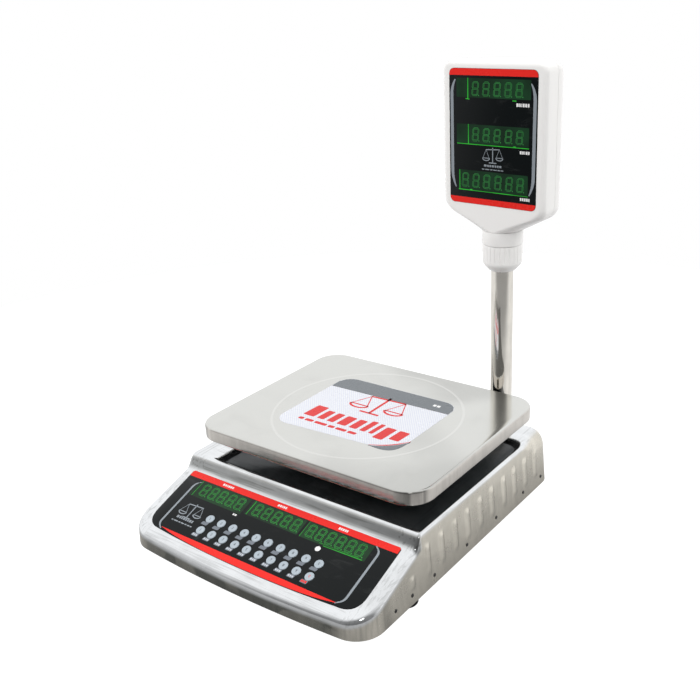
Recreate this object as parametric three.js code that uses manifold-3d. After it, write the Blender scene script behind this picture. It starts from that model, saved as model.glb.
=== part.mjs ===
// Retail price scale: a stainless steel counter scale with a square weighing platter, a sloped
// operator's panel at the front, and a customer's display head on a pole at the rear right.
//
// Millimetres, +Z up, front towards -Y. The origin is on the surface the feet stand on, under the
// centre of the whole scale.

import * as THREE from 'three';
import { mergeVertices } from 'three/addons/utils/BufferGeometryUtils.js';
import Module from 'manifold-3d';

const wasm = await Module();
wasm.setup();

// ---------------------------------------------------------------------------------------------
// Driving dimensions
// ---------------------------------------------------------------------------------------------

const GAP = 0.3;                 // clearance between pieces that touch
const FOOT_H = 9;                // bottom edge of the body shell above the floor

// Body shell: a pressed stainless box, open below
const SHELL = {
  widthBottom: 319,
  widthTop: 309,
  front: -206.5,                 // foremost point of the bowed front, at the bottom
  rear: 168,
  deck: 73,                      // height of the flat deck under the platter
  deckFront: -100.5,
  bowRadius: 1700,               // the front is bowed outwards in plan
  frontCorner: 30,
  rearCorner: 24,
  rearRound: 16,                 // roll from the deck into the rear wall
  sheet: 1.2,
};

// Sloped panel, measured from the middle of the film's upper edge
const PANEL = {
  y: -112.5,
  z: 59.6,
  slope: 19.24,                  // degrees below horizontal, towards the front
  width: 282.5,
  length: 86.3,                  // down the slope, at the middle
  bow: 4.4,                      // how much shorter the film is beside its lower corners
  upperCorner: 2,
  lowerCorner: 23,
  film: 0.6,
  ledge: 4,                      // flat above the film, before the steep bevel to the deck
  lip: 95,                       // where the slope rolls over into the front wall
};

const KEY = {
  columns: 10,
  rows: [49.05, 65.1],           // distance down the slope
  pitch: 16.4,
  centreX: 1.77,
  capRadius: 4.9,
  proud: 0.7,
  flangeRadius: 6.2,
  flangeThick: 1,
  stemRadius: 2.2,
  stemLength: 2.2,
};

const MODULE_DEPTH = 7;          // a display module, behind its film

// Display windows of the panel: x range and distance down the slope
const PANEL_WINDOWS = [
  { name: 'weight', x: [-121, -46], s: [10, 30] },
  { name: 'price', x: [-41, 31], s: [9, 29] },
  { name: 'total', x: [35, 115], s: [9, 29] },
];

const PLATTER = {
  width: 300,
  depth: 250,
  centreY: 27.8,
  top: 108.85,
  rim: 15.5,
  corner: 29,
  edge: 2,
  sheet: 1.2,
};

const SPIDER = {
  width: 274,
  depth: 224,
  corner: 22,
  plate: 2.5,
  under: 95,                     // underside height
  flange: 8,
  riser: [34, 30],
  cushionRadius: 9,
  cushionAt: [112, 88],
};

const CELL = { length: 130, width: 30, height: 22, bottom: 24, centreY: 27.8 };

const FOOT = {
  front: [143, -113],            // distance from the middle in x, and y
  rear: [126, 126],
  padRadius: 13,
  padHeight: 6,
  headRadius: 7.5,
  studRadius: 4,
  studTop: 24,
};

// Vertical ribs pressed out of both side walls; the foremost one is shorter
const RIB = {
  first: -119.5,
  pitch: 25.1,
  count: 11,
  width: 8,
  low: 21.5,
  high: 59,
  firstHigh: 40,
  bevel: 1.1,
  proud: 0.9,
  buried: 2,
};

// Base plate, closing the shell from below
const BASE = {
  low: 10,
  thick: 1.5,
  clear: 2.4,                    // inside the shell's outer face
  flangeHigh: 10,
  flangeFront: -165,
  flangeRear: 135,
  nutRadius: 8,
  nutHigh: 8,
  pedestal: [34, 30],
};

const BATTERY = { x: [10, 110], y: [-84, -37], height: 47 };
const TRANSFORMER = { x: [60, 110], y: [88, 130], height: 34, winding: [34, 30, 58] };
const MAIN_BOARD = { x: [-140, -72], y: [50, 138], z: 26, thick: 1.6 };
const MAIN_CHIP = { x: [-128, -98], y: [70, 104], high: 7 };

const POLE = { x: 85.1, y: 182.7, radius: 12.7, wall: 1.5, bottom: 16, top: 306 };

const BRACKET = { width: 46, height: 44, bottom: 12, arm: 7, flange: 4, fillet: 2 };

const NUT = { bottom: 245.2, shoulder: 255, top: 278.2, radius: 21.8, flutes: 24, depth: 0.55 };

const COLLAR = { radius: 22.8, top: 294.5, spigotRadius: 17, spigotBottom: 257 };

// Customer's display head, turned slightly about the pole
const HEAD = {
  turn: -3.8,
  width: 129,
  depth: 43,
  bottom: 316.5,
  top: 476.8,
  filmAhead: 23,                 // film's face ahead of the pole's axis
  cornerFront: 12,
  edgeFront: 5,
  edgeRear: 14,
  wall: 2.5,
  filmWidth: 109.3,
  filmBottom: 324.8,
  filmTop: 469.5,
  filmCorner: 6,
  film: 0.6,
};

// Display windows of the head: x range from the head's middle and height above the film's bottom
const HEAD_WINDOWS = [
  { name: 'weight', x: [-46, 44], z: [113, 137] },
  { name: 'price', x: [-46, 44], z: [66, 89] },
  { name: 'total', x: [-46, 44], z: [19, 42] },
];

// Mains inlet: flange outside the rear wall, and a recess with three flat pins
const INLET = {
  x: -96,
  z: 36,
  width: 47,
  height: 27,
  flange: 2.2,
  depth: 24,
  recess: [25, 16],
  recessDepth: 16,
  pin: [2, 4],
  pinEnd: 5,
  pinAt: [[-7, -1.5], [0, 2.5], [7, -1.5]],
};

const SWITCH = {
  x: -38,
  z: 36,
  width: 21,
  height: 15,
  tilt: 12,
  bezel: 2,
  depth: 18,
  margin: 3.2,
  wellDepth: 14,
  pivotDepth: 1.5,
  rockerBack: 5,
  rockerMiddle: 3,
  rockerEnd: 3.6,
  clearance: [0.9, 0.4],
};

const FITTING_EDGE = 2;          // how far a fitting's flange laps over its opening

const BORE_CLEARANCE = 0.35;     // between the pole and what turns on it

// ---------------------------------------------------------------------------------------------
// Geometry helpers
// ---------------------------------------------------------------------------------------------

const radians = THREE.MathUtils.degToRad;

/** A closed three.js geometry as a manifold solid. */
function solid(geometry) {
  const bare = geometry.clone();
  bare.deleteAttribute('normal');
  bare.deleteAttribute('uv');
  const merged = mergeVertices(bare, 1e-4);
  const mesh = new wasm.Mesh({
    numProp: 3,
    vertProperties: new Float32Array(merged.attributes.position.array),
    triVerts: new Uint32Array(merged.index.array),
  });
  return new wasm.Manifold(mesh);
}

/** A manifold solid as a three.js geometry. */
function geometryOf(manifold) {
  const mesh = manifold.getMesh();
  const geometry = new THREE.BufferGeometry();
  geometry.setAttribute('position', new THREE.BufferAttribute(mesh.vertProperties, 3));
  geometry.setIndex(new THREE.BufferAttribute(mesh.triVerts, 1));
  geometry.computeVertexNormals();
  return geometry;
}

/** Shape extruded upwards from z0 to z1. */
function prism(shape, z0, z1, arcSteps = 5) {
  const options = { depth: z1 - z0, bevelEnabled: false, curveSegments: arcSteps };
  const geometry = new THREE.ExtrudeGeometry(shape, options);
  geometry.translate(0, 0, z0);
  return geometry;
}

/** Shape extruded upwards with a bevelled edge at both ends. */
function bevelledPrism(shape, z0, z1, bevel, bevelSteps = 1, arcSteps = 5) {
  const geometry = new THREE.ExtrudeGeometry(shape, {
    depth: z1 - z0 - 2 * bevel,
    bevelEnabled: true,
    bevelThickness: bevel,
    bevelSize: bevel,
    bevelOffset: -bevel,
    bevelSegments: bevelSteps,
    curveSegments: arcSteps,
  });
  geometry.translate(0, 0, z0 + bevel);
  return geometry;
}

/** Rectangle with round corners, centred on (x, y). */
function roundedRectangle(width, depth, radius, x = 0, y = 0) {
  const w = width / 2;
  const d = depth / 2;
  const shape = new THREE.Shape();
  shape.moveTo(x - w + radius, y - d);
  shape.lineTo(x + w - radius, y - d);
  shape.absarc(x + w - radius, y - d + radius, radius, -Math.PI / 2, 0);
  shape.lineTo(x + w, y + d - radius);
  shape.absarc(x + w - radius, y + d - radius, radius, 0, Math.PI / 2);
  shape.lineTo(x - w + radius, y + d);
  shape.absarc(x - w + radius, y + d - radius, radius, Math.PI / 2, Math.PI);
  shape.lineTo(x - w, y - d + radius);
  shape.absarc(x - w + radius, y - d + radius, radius, Math.PI, Math.PI * 1.5);
  return shape;
}

/** Rectangle from its low and high corners. */
function rectangle(x0, y0, x1, y1) {
  return new THREE.Shape([
    new THREE.Vector2(x0, y0),
    new THREE.Vector2(x1, y0),
    new THREE.Vector2(x1, y1),
    new THREE.Vector2(x0, y1),
  ]);
}

/** Box from its low and high corners. */
function block(x0, y0, z0, x1, y1, z1) {
  const geometry = new THREE.BoxGeometry(x1 - x0, y1 - y0, z1 - z0);
  geometry.translate((x0 + x1) / 2, (y0 + y1) / 2, (z0 + z1) / 2);
  return geometry;
}

/** Solid of revolution about Z; the profile runs upwards as [radius, z] pairs. */
function turned(profile, segments = 24) {
  const points = profile.map(([r, z]) => new THREE.Vector2(r, z));
  const geometry = new THREE.LatheGeometry(points, segments);
  geometry.rotateX(Math.PI / 2);
  return geometry;
}

/** Upright cylinder between two heights. */
function post(radius, z0, z1, segments = 20) {
  return turned([[0, z0], [radius, z0], [radius, z1], [0, z1]], segments);
}

/** Outline in the YZ plane, swept across the full width along X. */
function sweptAcross(points, halfWidth) {
  const shape = new THREE.Shape(points.map(([y, z]) => new THREE.Vector2(y, z)));
  const geometry = new THREE.ExtrudeGeometry(shape, { depth: 2 * halfWidth, bevelEnabled: false });
  geometry.translate(0, 0, -halfWidth);
  geometry.rotateY(Math.PI / 2);
  geometry.rotateX(Math.PI / 2);
  return geometry;
}

/** Moves each point of an outline inwards by a distance, keeping the sides parallel. */
function inset(points, distance) {
  const result = [];
  const count = points.length;
  for (let i = 0; i < count; i += 1) {
    const before = points[(i + count - 1) % count];
    const here = points[i];
    const after = points[(i + 1) % count];
    const a = new THREE.Vector2(here[0] - before[0], here[1] - before[1]).normalize();
    const b = new THREE.Vector2(after[0] - here[0], after[1] - here[1]).normalize();
    const normalA = new THREE.Vector2(-a.y, a.x);
    const normalB = new THREE.Vector2(-b.y, b.x);
    const mitre = normalA.clone().add(normalB).normalize();
    const reach = distance / Math.max(mitre.dot(normalA), 0.3);
    result.push([here[0] + mitre.x * reach, here[1] + mitre.y * reach]);
  }
  return result;
}

/** Standard material. */
function material(color, roughness, metalness = 0) {
  return new THREE.MeshStandardMaterial({ color, roughness, metalness });
}

const finish = {
  satinSteel: material(0xb9b6ae, 0.35, 1),
  chrome: material(0xdadcde, 0.06, 1),
  zinc: material(0x9aa0a2, 0.45, 1),
  aluminium: material(0xb4b8ba, 0.4, 1),
  blackPaint: material(0x101213, 0.35),
  blackFilm: material(0x07090b, 0.12),
  blackPlastic: material(0x16181a, 0.5),
  whitePlastic: material(0xe9e7e3, 0.28),
  keyCap: material(0xb6c2c8, 0.4),
  display: material(0x0c2a12, 0.3),
  board: material(0x1c5a34, 0.55),
  rubber: material(0x121212, 0.85),
  battery: material(0x2b2e33, 0.5),
  iron: material(0x8a8378, 0.5, 1),
};

const scale = new THREE.Group();

/** Adds a named piece, from a geometry or a manifold solid, to a group. */
function piece(name, shape, look, group = scale) {
  const geometry = shape.isBufferGeometry ? shape : geometryOf(shape);
  const mesh = new THREE.Mesh(geometry, look);
  mesh.name = name;
  group.add(mesh);
  return mesh;
}

// ---------------------------------------------------------------------------------------------
// Sloped panel's frame: local X across, local Y up the slope, local Z out of the panel
// ---------------------------------------------------------------------------------------------

const panel = new THREE.Group();
panel.position.set(0, PANEL.y, PANEL.z);
panel.rotation.x = radians(PANEL.slope);
scale.add(panel);

/** [y, z] of the point s down the slope and n out of the film's face. */
function onSlope(s, n = 0) {
  const c = Math.cos(radians(PANEL.slope));
  const k = Math.sin(radians(PANEL.slope));
  return [PANEL.y - s * c - n * k, PANEL.z - s * k + n * c];
}

/** A solid given in the panel's frame, placed in the scale's frame. */
function fromPanel(geometry) {
  const placed = geometry.clone();
  placed.rotateX(radians(PANEL.slope));
  placed.translate(0, PANEL.y, PANEL.z);
  return placed;
}

/** Height of the steel under the film. */
const steelFace = -(PANEL.film + GAP);

// ---------------------------------------------------------------------------------------------
// Body shell
// ---------------------------------------------------------------------------------------------

/** Plan outline with a bowed front, inset from the outside by a distance. */
function planOutline(insetBy = 0) {
  const halfWidth = SHELL.widthBottom / 2 - insetBy;
  const front = SHELL.front + insetBy;
  const rear = SHELL.rear - insetBy;
  const bow = SHELL.bowRadius;
  const corner = SHELL.frontCorner - insetBy;
  const rearCorner = SHELL.rearCorner - insetBy;
  const bowCentre = front + bow;
  const cornerX = halfWidth - corner;
  const cornerY = bowCentre - Math.sqrt((bow - corner) ** 2 - cornerX ** 2);
  const turn = Math.atan2(cornerX, bowCentre - cornerY);
  const shape = new THREE.Shape();
  shape.absarc(0, bowCentre, bow, -Math.PI / 2 - turn, -Math.PI / 2 + turn);
  shape.absarc(cornerX, cornerY, corner, -Math.PI / 2 + turn, 0);
  shape.absarc(halfWidth - rearCorner, rear - rearCorner, rearCorner, 0, Math.PI / 2);
  shape.absarc(rearCorner - halfWidth, rear - rearCorner, rearCorner, Math.PI / 2, Math.PI);
  shape.absarc(-cornerX, cornerY, corner, Math.PI, Math.PI * 1.5 - turn);
  return shape;
}

/** The plan outline raised from z0 to z1 with the sides leaning in towards the deck. */
function draftedBody(insetBy, z0, z1) {
  const geometry = prism(planOutline(insetBy), z0, z1, 6);
  const lean = (SHELL.widthBottom - SHELL.widthTop) / SHELL.widthBottom / (SHELL.deck - FOOT_H);
  const position = geometry.attributes.position;
  for (let i = 0; i < position.count; i += 1) {
    const rise = position.getZ(i) - FOOT_H;
    position.setX(i, position.getX(i) * (1 - lean * rise));
  }
  return geometry;
}

/** Side outline of the shell in [y, z]: front wall, slope, bevel, deck and rolled rear edge. */
function sideOutline(bottom) {
  const points = [[SHELL.front - 1, bottom], [SHELL.rear + 1, bottom]];
  const rollY = SHELL.rear - SHELL.rearRound;
  const rollZ = SHELL.deck - SHELL.rearRound;
  const steps = 4;
  points.push([SHELL.rear + 1, rollZ]);
  for (let i = 0; i <= steps; i += 1) {
    const angle = (Math.PI / 2) * (i / steps);
    const y = rollY + SHELL.rearRound * Math.cos(angle);
    points.push([y, rollZ + SHELL.rearRound * Math.sin(angle)]);
  }
  points.push([SHELL.deckFront, SHELL.deck]);
  points.push(onSlope(-PANEL.ledge, steelFace));
  points.push(onSlope(PANEL.lip, steelFace));
  points.push([SHELL.front + 1.6, FOOT_H + 16]);
  points.push([SHELL.front - 1, FOOT_H + 12]);
  return points;
}

/** Upright bar with its ends cut to a blunt point. */
function ribOutline(width, height) {
  const w = width / 2;
  const h = height / 2;
  const cut = w * 0.55;
  return new THREE.Shape([
    new THREE.Vector2(cut - w, -h),
    new THREE.Vector2(w - cut, -h),
    new THREE.Vector2(w, cut - h),
    new THREE.Vector2(w, h - cut),
    new THREE.Vector2(w - cut, h),
    new THREE.Vector2(cut - w, h),
    new THREE.Vector2(-w, h - cut),
    new THREE.Vector2(-w, cut - h),
  ]);
}

function bodyShell() {
  const outer = solid(draftedBody(0, FOOT_H, SHELL.deck + 2))
    .intersect(solid(sweptAcross(sideOutline(FOOT_H - 1), 200)));
  const cavity = solid(draftedBody(SHELL.sheet, FOOT_H - 5, SHELL.deck + 2))
    .intersect(solid(sweptAcross(inset(sideOutline(FOOT_H - 10), SHELL.sheet), 200)));
  let shell = outer;

  const lean = Math.atan2((SHELL.widthBottom - SHELL.widthTop) / 2, SHELL.deck - FOOT_H);
  for (const side of [-1, 1]) {
    for (let i = 0; i < RIB.count; i += 1) {
      const high = i === 0 ? RIB.firstHigh : RIB.high;
      const outline = ribOutline(RIB.width, high - RIB.low);
      const rib = bevelledPrism(outline, -RIB.buried, RIB.proud, RIB.bevel);
      rib.translate(0, (high + RIB.low) / 2 - FOOT_H, 0);
      rib.rotateX(Math.PI / 2);
      rib.rotateZ(side * Math.PI / 2);
      rib.rotateY(-side * lean);
      rib.translate(side * SHELL.widthBottom / 2, RIB.first + i * RIB.pitch, FOOT_H);
      shell = shell.add(solid(rib));
    }
  }
  shell = shell.subtract(cavity);

  // Windows for the three displays and one opening under the whole keypad
  const cuts = PANEL_WINDOWS.map(({ x, s }) => [x[0] - 1, -s[1] - 1, x[1] + 1, -s[0] + 1]);
  const keysHalf = (KEY.columns / 2) * KEY.pitch + 1;
  cuts.push([KEY.centreX - keysHalf, -KEY.rows[1] - 9, KEY.centreX + keysHalf, -KEY.rows[0] + 9]);
  for (const [x0, y0, x1, y1] of cuts) {
    shell = shell.subtract(solid(fromPanel(block(x0, y0, -6, x1, y1, 2))));
  }

  // Deck opening for the riser, and rear openings for the inlet and the switch
  const riserX = CELL.length / 2 - SPIDER.riser[0] / 2;
  const hole = roundedRectangle(SPIDER.riser[0] + 8, SPIDER.riser[1] + 8, 6, riserX, CELL.centreY);
  shell = shell.subtract(solid(prism(hole, SHELL.deck - 5, SHELL.deck + 5, 3)));
  for (const { x, z, width, height } of [INLET, SWITCH]) {
    const w = width / 2 - FITTING_EDGE + GAP;
    const h = height / 2 - FITTING_EDGE + GAP;
    const opening = block(x - w, SHELL.rear - 4, z - h, x + w, SHELL.rear + 4, z + h);
    shell = shell.subtract(solid(opening));
  }
  return shell;
}

piece('body_shell', bodyShell(), finish.satinSteel);

// ---------------------------------------------------------------------------------------------
// Base plate with side flanges, weld nuts for the feet and the load cell's pedestal
// ---------------------------------------------------------------------------------------------

const footPlaces = [
  ['front_left', -FOOT.front[0], FOOT.front[1]],
  ['front_right', FOOT.front[0], FOOT.front[1]],
  ['rear_left', -FOOT.rear[0], FOOT.rear[1]],
  ['rear_right', FOOT.rear[0], FOOT.rear[1]],
];

function basePlate() {
  const { low, thick, clear, flangeHigh, flangeFront, flangeRear, nutRadius, nutHigh } = BASE;
  let plate = solid(prism(planOutline(clear), low, low + thick, 4));
  const flangeX = SHELL.widthBottom / 2 - clear - 1;
  for (const side of [-1, 1]) {
    const x0 = Math.min(side * flangeX, side * (flangeX - thick));
    const flange = block(x0, flangeFront, low, x0 + thick, flangeRear, low + flangeHigh);
    plate = plate.add(solid(flange));
  }
  const fixedX = -CELL.length / 2 + BASE.pedestal[0] / 2;
  const [w, d] = BASE.pedestal.map((side) => side / 2);
  const y = CELL.centreY;
  const pedestal = block(fixedX - w, y - d, low, fixedX + w, y + d, CELL.bottom - GAP);
  plate = plate.add(solid(pedestal));
  for (const [, footX, footY] of footPlaces) {
    const nut = post(nutRadius, low, low + nutHigh, 6);
    nut.translate(footX, footY, 0);
    plate = plate.add(solid(nut));
    const bore = post(FOOT.studRadius + 0.4, low - 2, low + nutHigh + 4, 16);
    bore.translate(footX, footY, 0);
    plate = plate.subtract(solid(bore));
  }
  return plate;
}

piece('base_plate', basePlate(), finish.zinc);

// ---------------------------------------------------------------------------------------------
// Levelling feet
// ---------------------------------------------------------------------------------------------

for (const [place, x, y] of footPlaces) {
  const rim = FOOT.padRadius;
  const high = FOOT.padHeight;
  const padProfile = [
    [0, 0], [rim - 1, 0], [rim, 1], [rim, high - 1.5], [rim - 2, high], [0, high],
  ];
  const pad = turned(padProfile, 20);
  piece(`foot_pad_${place}`, pad, finish.rubber).position.set(x, y, 0);
  const low = high + GAP;
  const studProfile = [
    [0, low], [FOOT.headRadius, low], [FOOT.headRadius, FOOT_H],
    [FOOT.studRadius, FOOT_H], [FOOT.studRadius, FOOT.studTop], [0, FOOT.studTop],
  ];
  const stud = turned(studProfile, 12);
  piece(`foot_stud_${place}`, stud, finish.zinc).position.set(x, y, 0);
}

// ---------------------------------------------------------------------------------------------
// Load cell, spider frame, cushions and platter
// ---------------------------------------------------------------------------------------------

function loadCell() {
  const l = CELL.length / 2;
  const w = CELL.width / 2;
  const outline = rectangle(-l, 0, l, CELL.height);
  // Two joined round holes through the middle make the bending section
  const slot = new THREE.Path();
  slot.absarc(-14, CELL.height / 2, 7, Math.PI / 2, Math.PI * 1.5);
  slot.absarc(14, CELL.height / 2, 7, -Math.PI / 2, Math.PI / 2);
  outline.holes.push(slot);
  const beam = prism(outline, -w, w, 4);
  beam.rotateX(Math.PI / 2);
  beam.translate(0, CELL.centreY, CELL.bottom);
  return beam;
}

piece('load_cell', loadCell(), finish.aluminium);

function spiderFrame() {
  const { width, depth, corner, plate, under, flange } = SPIDER;
  const y = PLATTER.centreY;
  const outer = roundedRectangle(width, depth, corner, 0, y);
  const inner = roundedRectangle(width - 6, depth - 6, corner - 3, 0, y);
  let frame = solid(prism(outer, under, under + plate, 3));
  const skirt = solid(prism(outer, under + plate - 0.1, under + flange, 3))
    .subtract(solid(prism(inner, under, under + flange + 1, 3)));
  frame = frame.add(skirt);
  const riserX = CELL.length / 2 - SPIDER.riser[0] / 2;
  const [w, d] = SPIDER.riser.map((side) => side / 2);
  const bottom = CELL.bottom + CELL.height + 0.8;
  return frame.add(solid(block(riserX - w, y - d, bottom, riserX + w, y + d, under + 1)));
}

piece('spider_frame', spiderFrame(), finish.blackPaint);

const platterInside = PLATTER.top - PLATTER.sheet;
const [cushionX, cushionY] = SPIDER.cushionAt;
for (const [i, [sx, sy]] of [[-1, -1], [1, -1], [-1, 1], [1, 1]].entries()) {
  const low = SPIDER.under + SPIDER.plate + GAP;
  const high = platterInside - GAP;
  const r = SPIDER.cushionRadius;
  const cushion = turned([[0, low], [r, low], [r, high - 1.5], [r - 1.5, high], [0, high]], 16);
  const place = [sx * cushionX, PLATTER.centreY + sy * cushionY, 0];
  piece(`platter_cushion_${i + 1}`, cushion, finish.rubber).position.set(...place);
}

function platter() {
  const { width, depth, centreY, top, rim, corner, edge, sheet } = PLATTER;
  const outline = roundedRectangle(width, depth, corner, 0, centreY);
  const core = roundedRectangle(width - 2 * sheet, depth - 2 * sheet, corner - sheet, 0, centreY);
  const skin = solid(bevelledPrism(outline, top - rim - 10, top, edge, 2, 6));
  const hollow = solid(bevelledPrism(core, top - rim - 15, top - sheet, edge - 0.6, 2, 6));
  const below = solid(block(-200, -200, 0, 200, 300, top - rim));
  return skin.subtract(hollow).subtract(below);
}

piece('platter', platter(), finish.satinSteel);

// ---------------------------------------------------------------------------------------------
// Operator's panel: film, keys, display modules and boards
// ---------------------------------------------------------------------------------------------

/** Film outline in the panel's frame, with its lower edge bowed like the shell's front. */
function filmOutline() {
  const { width, length, bow, upperCorner, lowerCorner } = PANEL;
  const w = width / 2;
  const flat = w - lowerCorner;
  const side = -(length - bow - lowerCorner * 0.93);
  const shape = new THREE.Shape();
  shape.moveTo(-w, -upperCorner);
  shape.lineTo(-w, side);
  shape.quadraticCurveTo(-w, -(length - bow) - 0.6, -flat, -(length - bow));
  shape.quadraticCurveTo(0, -(length + bow), flat, -(length - bow));
  shape.quadraticCurveTo(w, -(length - bow) - 0.6, w, side);
  shape.lineTo(w, -upperCorner);
  shape.lineTo(w - upperCorner, 0);
  shape.lineTo(-w + upperCorner, 0);
  return shape;
}

const keyPlaces = [];
for (const [row, s] of KEY.rows.entries()) {
  for (let column = 0; column < KEY.columns; column += 1) {
    const x = KEY.centreX + (column - (KEY.columns - 1) / 2) * KEY.pitch;
    const label = String(column + 1).padStart(2, '0');
    keyPlaces.push({ name: `key_row${row + 1}_${label}`, x, y: -s });
  }
}

const panelFilm = filmOutline();
for (const { x, y } of keyPlaces) {
  const hole = new THREE.Path();
  hole.absarc(x, y, KEY.capRadius + GAP, 0, Math.PI * 2, true);
  panelFilm.holes.push(hole);
}
piece('panel_film', prism(panelFilm, -PANEL.film, 0, 5), finish.blackFilm, panel);

const flangeTop = -PANEL.film - GAP;
for (const { name, x, y } of keyPlaces) {
  const r = KEY.capRadius;
  const flange = KEY.flangeRadius;
  const low = flangeTop - KEY.flangeThick;
  const foot = low - KEY.stemLength;
  const stem = KEY.stemRadius;
  const cap = turned([
    [0, foot], [stem, foot], [stem, low], [flange, low], [flange, flangeTop],
    [r, flangeTop], [r, KEY.proud], [0, KEY.proud],
  ], 10);
  piece(name, cap, finish.keyCap, panel).position.set(x, y, 0);
}

for (const { name, x, s } of PANEL_WINDOWS) {
  const window = block(x[0], -s[1], flangeTop - MODULE_DEPTH, x[1], -s[0], flangeTop);
  piece(`panel_display_${name}`, window, finish.display, panel);
}
const panelBoardTop = flangeTop - MODULE_DEPTH - GAP;
const panelBoard = block(-128, -78, panelBoardTop - 1.6, 126, -4, panelBoardTop);
piece('panel_board', panelBoard, finish.board, panel);

// ---------------------------------------------------------------------------------------------
// Inside the body: main board, battery and mains transformer
// ---------------------------------------------------------------------------------------------

const floorInside = BASE.low + BASE.thick + GAP;

/** Upright block of an inner component, from its x and y ranges and its z range. */
function component({ x, y }, low, high) {
  return block(x[0], y[0], low, x[1], y[1], high);
}

const boardTop = MAIN_BOARD.z + MAIN_BOARD.thick;
const mainBoard = solid(component(MAIN_BOARD, MAIN_BOARD.z, boardTop))
  .add(solid(component(MAIN_CHIP, boardTop - 0.5, boardTop + MAIN_CHIP.high)));
piece('main_board', mainBoard, finish.board);
piece('battery', component(BATTERY, floorInside, floorInside + BATTERY.height), finish.battery);

function transformer() {
  const { x, y, height, winding } = TRANSFORMER;
  const core = solid(component(TRANSFORMER, floorInside, floorInside + height));
  const coil = bevelledPrism(roundedRectangle(winding[0], winding[1], 8), 0, winding[2], 1, 1, 2);
  coil.rotateX(Math.PI / 2);
  const coilY = (y[0] + y[1] + winding[2]) / 2;
  coil.translate((x[0] + x[1]) / 2, coilY, floorInside + height / 2);
  return core.add(solid(coil));
}
piece('transformer', transformer(), finish.iron);

// ---------------------------------------------------------------------------------------------
// Rear of the body: power inlet and rocker switch
// ---------------------------------------------------------------------------------------------

function powerInlet() {
  const { x, z, width, height, flange, depth, recess, recessDepth, pin, pinEnd, pinAt } = INLET;
  const face = SHELL.rear + GAP;
  const [w, h] = [width / 2, height / 2];
  const [bw, bh] = [w - FITTING_EDGE, h - FITTING_EDGE];
  const [rw, rh] = [recess[0] / 2, recess[1] / 2];
  const [pw, ph] = [pin[0] / 2, pin[1] / 2];
  let inlet = solid(block(x - w, face, z - h, x + w, face + flange, z + h));
  inlet = inlet.add(solid(block(x - bw, face - depth, z - bh, x + bw, face + 1, z + bh)));
  const mouth = block(x - rw, face - recessDepth, z - rh, x + rw, face + depth, z + rh);
  inlet = inlet.subtract(solid(mouth));
  for (const [dx, dz] of pinAt) {
    const low = [x + dx - pw, face - recessDepth - 1, z + dz - ph];
    const high = [x + dx + pw, face - pinEnd, z + dz + ph];
    inlet = inlet.add(solid(block(...low, ...high)));
  }
  return inlet;
}
piece('power_inlet', powerInlet(), finish.blackPlastic);

function switchFrame() {
  const { x, z, width, height, bezel, depth, margin, wellDepth } = SWITCH;
  const face = SHELL.rear + GAP;
  const [w, h] = [width / 2, height / 2];
  const [bw, bh] = [w - FITTING_EDGE, h - FITTING_EDGE];
  const [ww, wh] = [w - margin, h - margin];
  const rim = solid(block(x - w, face, z - h, x + w, face + bezel, z + h));
  const body = solid(block(x - bw, face - depth, z - bh, x + bw, face + 1, z + bh));
  const well = block(x - ww, face - wellDepth, z - wh, x + ww, face + depth, z + wh);
  return rim.add(body).subtract(solid(well));
}
piece('switch_frame', switchFrame(), finish.blackPlastic);

/** Rocker: a segment about the pivot along Z, with two flat faces meeting over the pivot. */
function rocker() {
  const { width, height, tilt, margin, clearance, rockerBack, rockerMiddle, rockerEnd } = SWITCH;
  const t = radians(tilt);
  const half = width / 2 - margin - clearance[0];
  const back = half * Math.cos(t);
  const end = rockerEnd - half * Math.tan(t) * 0.2;
  const shape = new THREE.Shape();
  shape.moveTo(-back, -rockerBack);
  shape.lineTo(back, -rockerBack);
  shape.lineTo(half, end);
  shape.lineTo(0, rockerMiddle);
  shape.lineTo(-half, end);
  const h = height / 2 - margin - clearance[1];
  const body = prism(shape, -h, h);
  body.rotateZ(t);
  return body;
}
piece('power_rocker', rocker(), finish.blackPlastic)
  .position.set(SWITCH.x, SHELL.rear - SWITCH.pivotDepth, SWITCH.z);

// ---------------------------------------------------------------------------------------------
// Pole and the bracket that clamps it to the rear wall
// ---------------------------------------------------------------------------------------------

const poleOuter = POLE.radius;
const poleInner = POLE.radius - POLE.wall;
const pole = turned([
  [poleInner, POLE.bottom], [poleOuter, POLE.bottom], [poleOuter, POLE.top],
  [poleInner, POLE.top], [poleInner, POLE.bottom],
], 28);
piece('pole', pole, finish.chrome).position.set(POLE.x, POLE.y, 0);

function poleBracket() {
  const { width, height, bottom, arm, flange, fillet } = BRACKET;
  const back = SHELL.rear + GAP - POLE.y;
  const ring = poleOuter + arm;
  const shape = new THREE.Shape();
  shape.moveTo(-width / 2, back);
  shape.lineTo(width / 2, back);
  shape.lineTo(width / 2, back + flange);
  shape.lineTo(ring, back + flange + fillet);
  shape.lineTo(ring, 0);
  shape.absarc(0, 0, ring, 0, Math.PI);
  shape.lineTo(-ring, back + flange + fillet);
  shape.lineTo(-width / 2, back + flange);
  const bore = new THREE.Path();
  bore.absarc(0, 0, poleOuter + GAP, 0, Math.PI * 2, true);
  shape.holes.push(bore);
  return prism(shape, bottom, bottom + height, 10);
}
piece('pole_bracket', poleBracket(), finish.satinSteel).position.set(POLE.x, POLE.y, 0);

// ---------------------------------------------------------------------------------------------
// Clamp nut and display head, both about the pole's axis
// ---------------------------------------------------------------------------------------------

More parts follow.
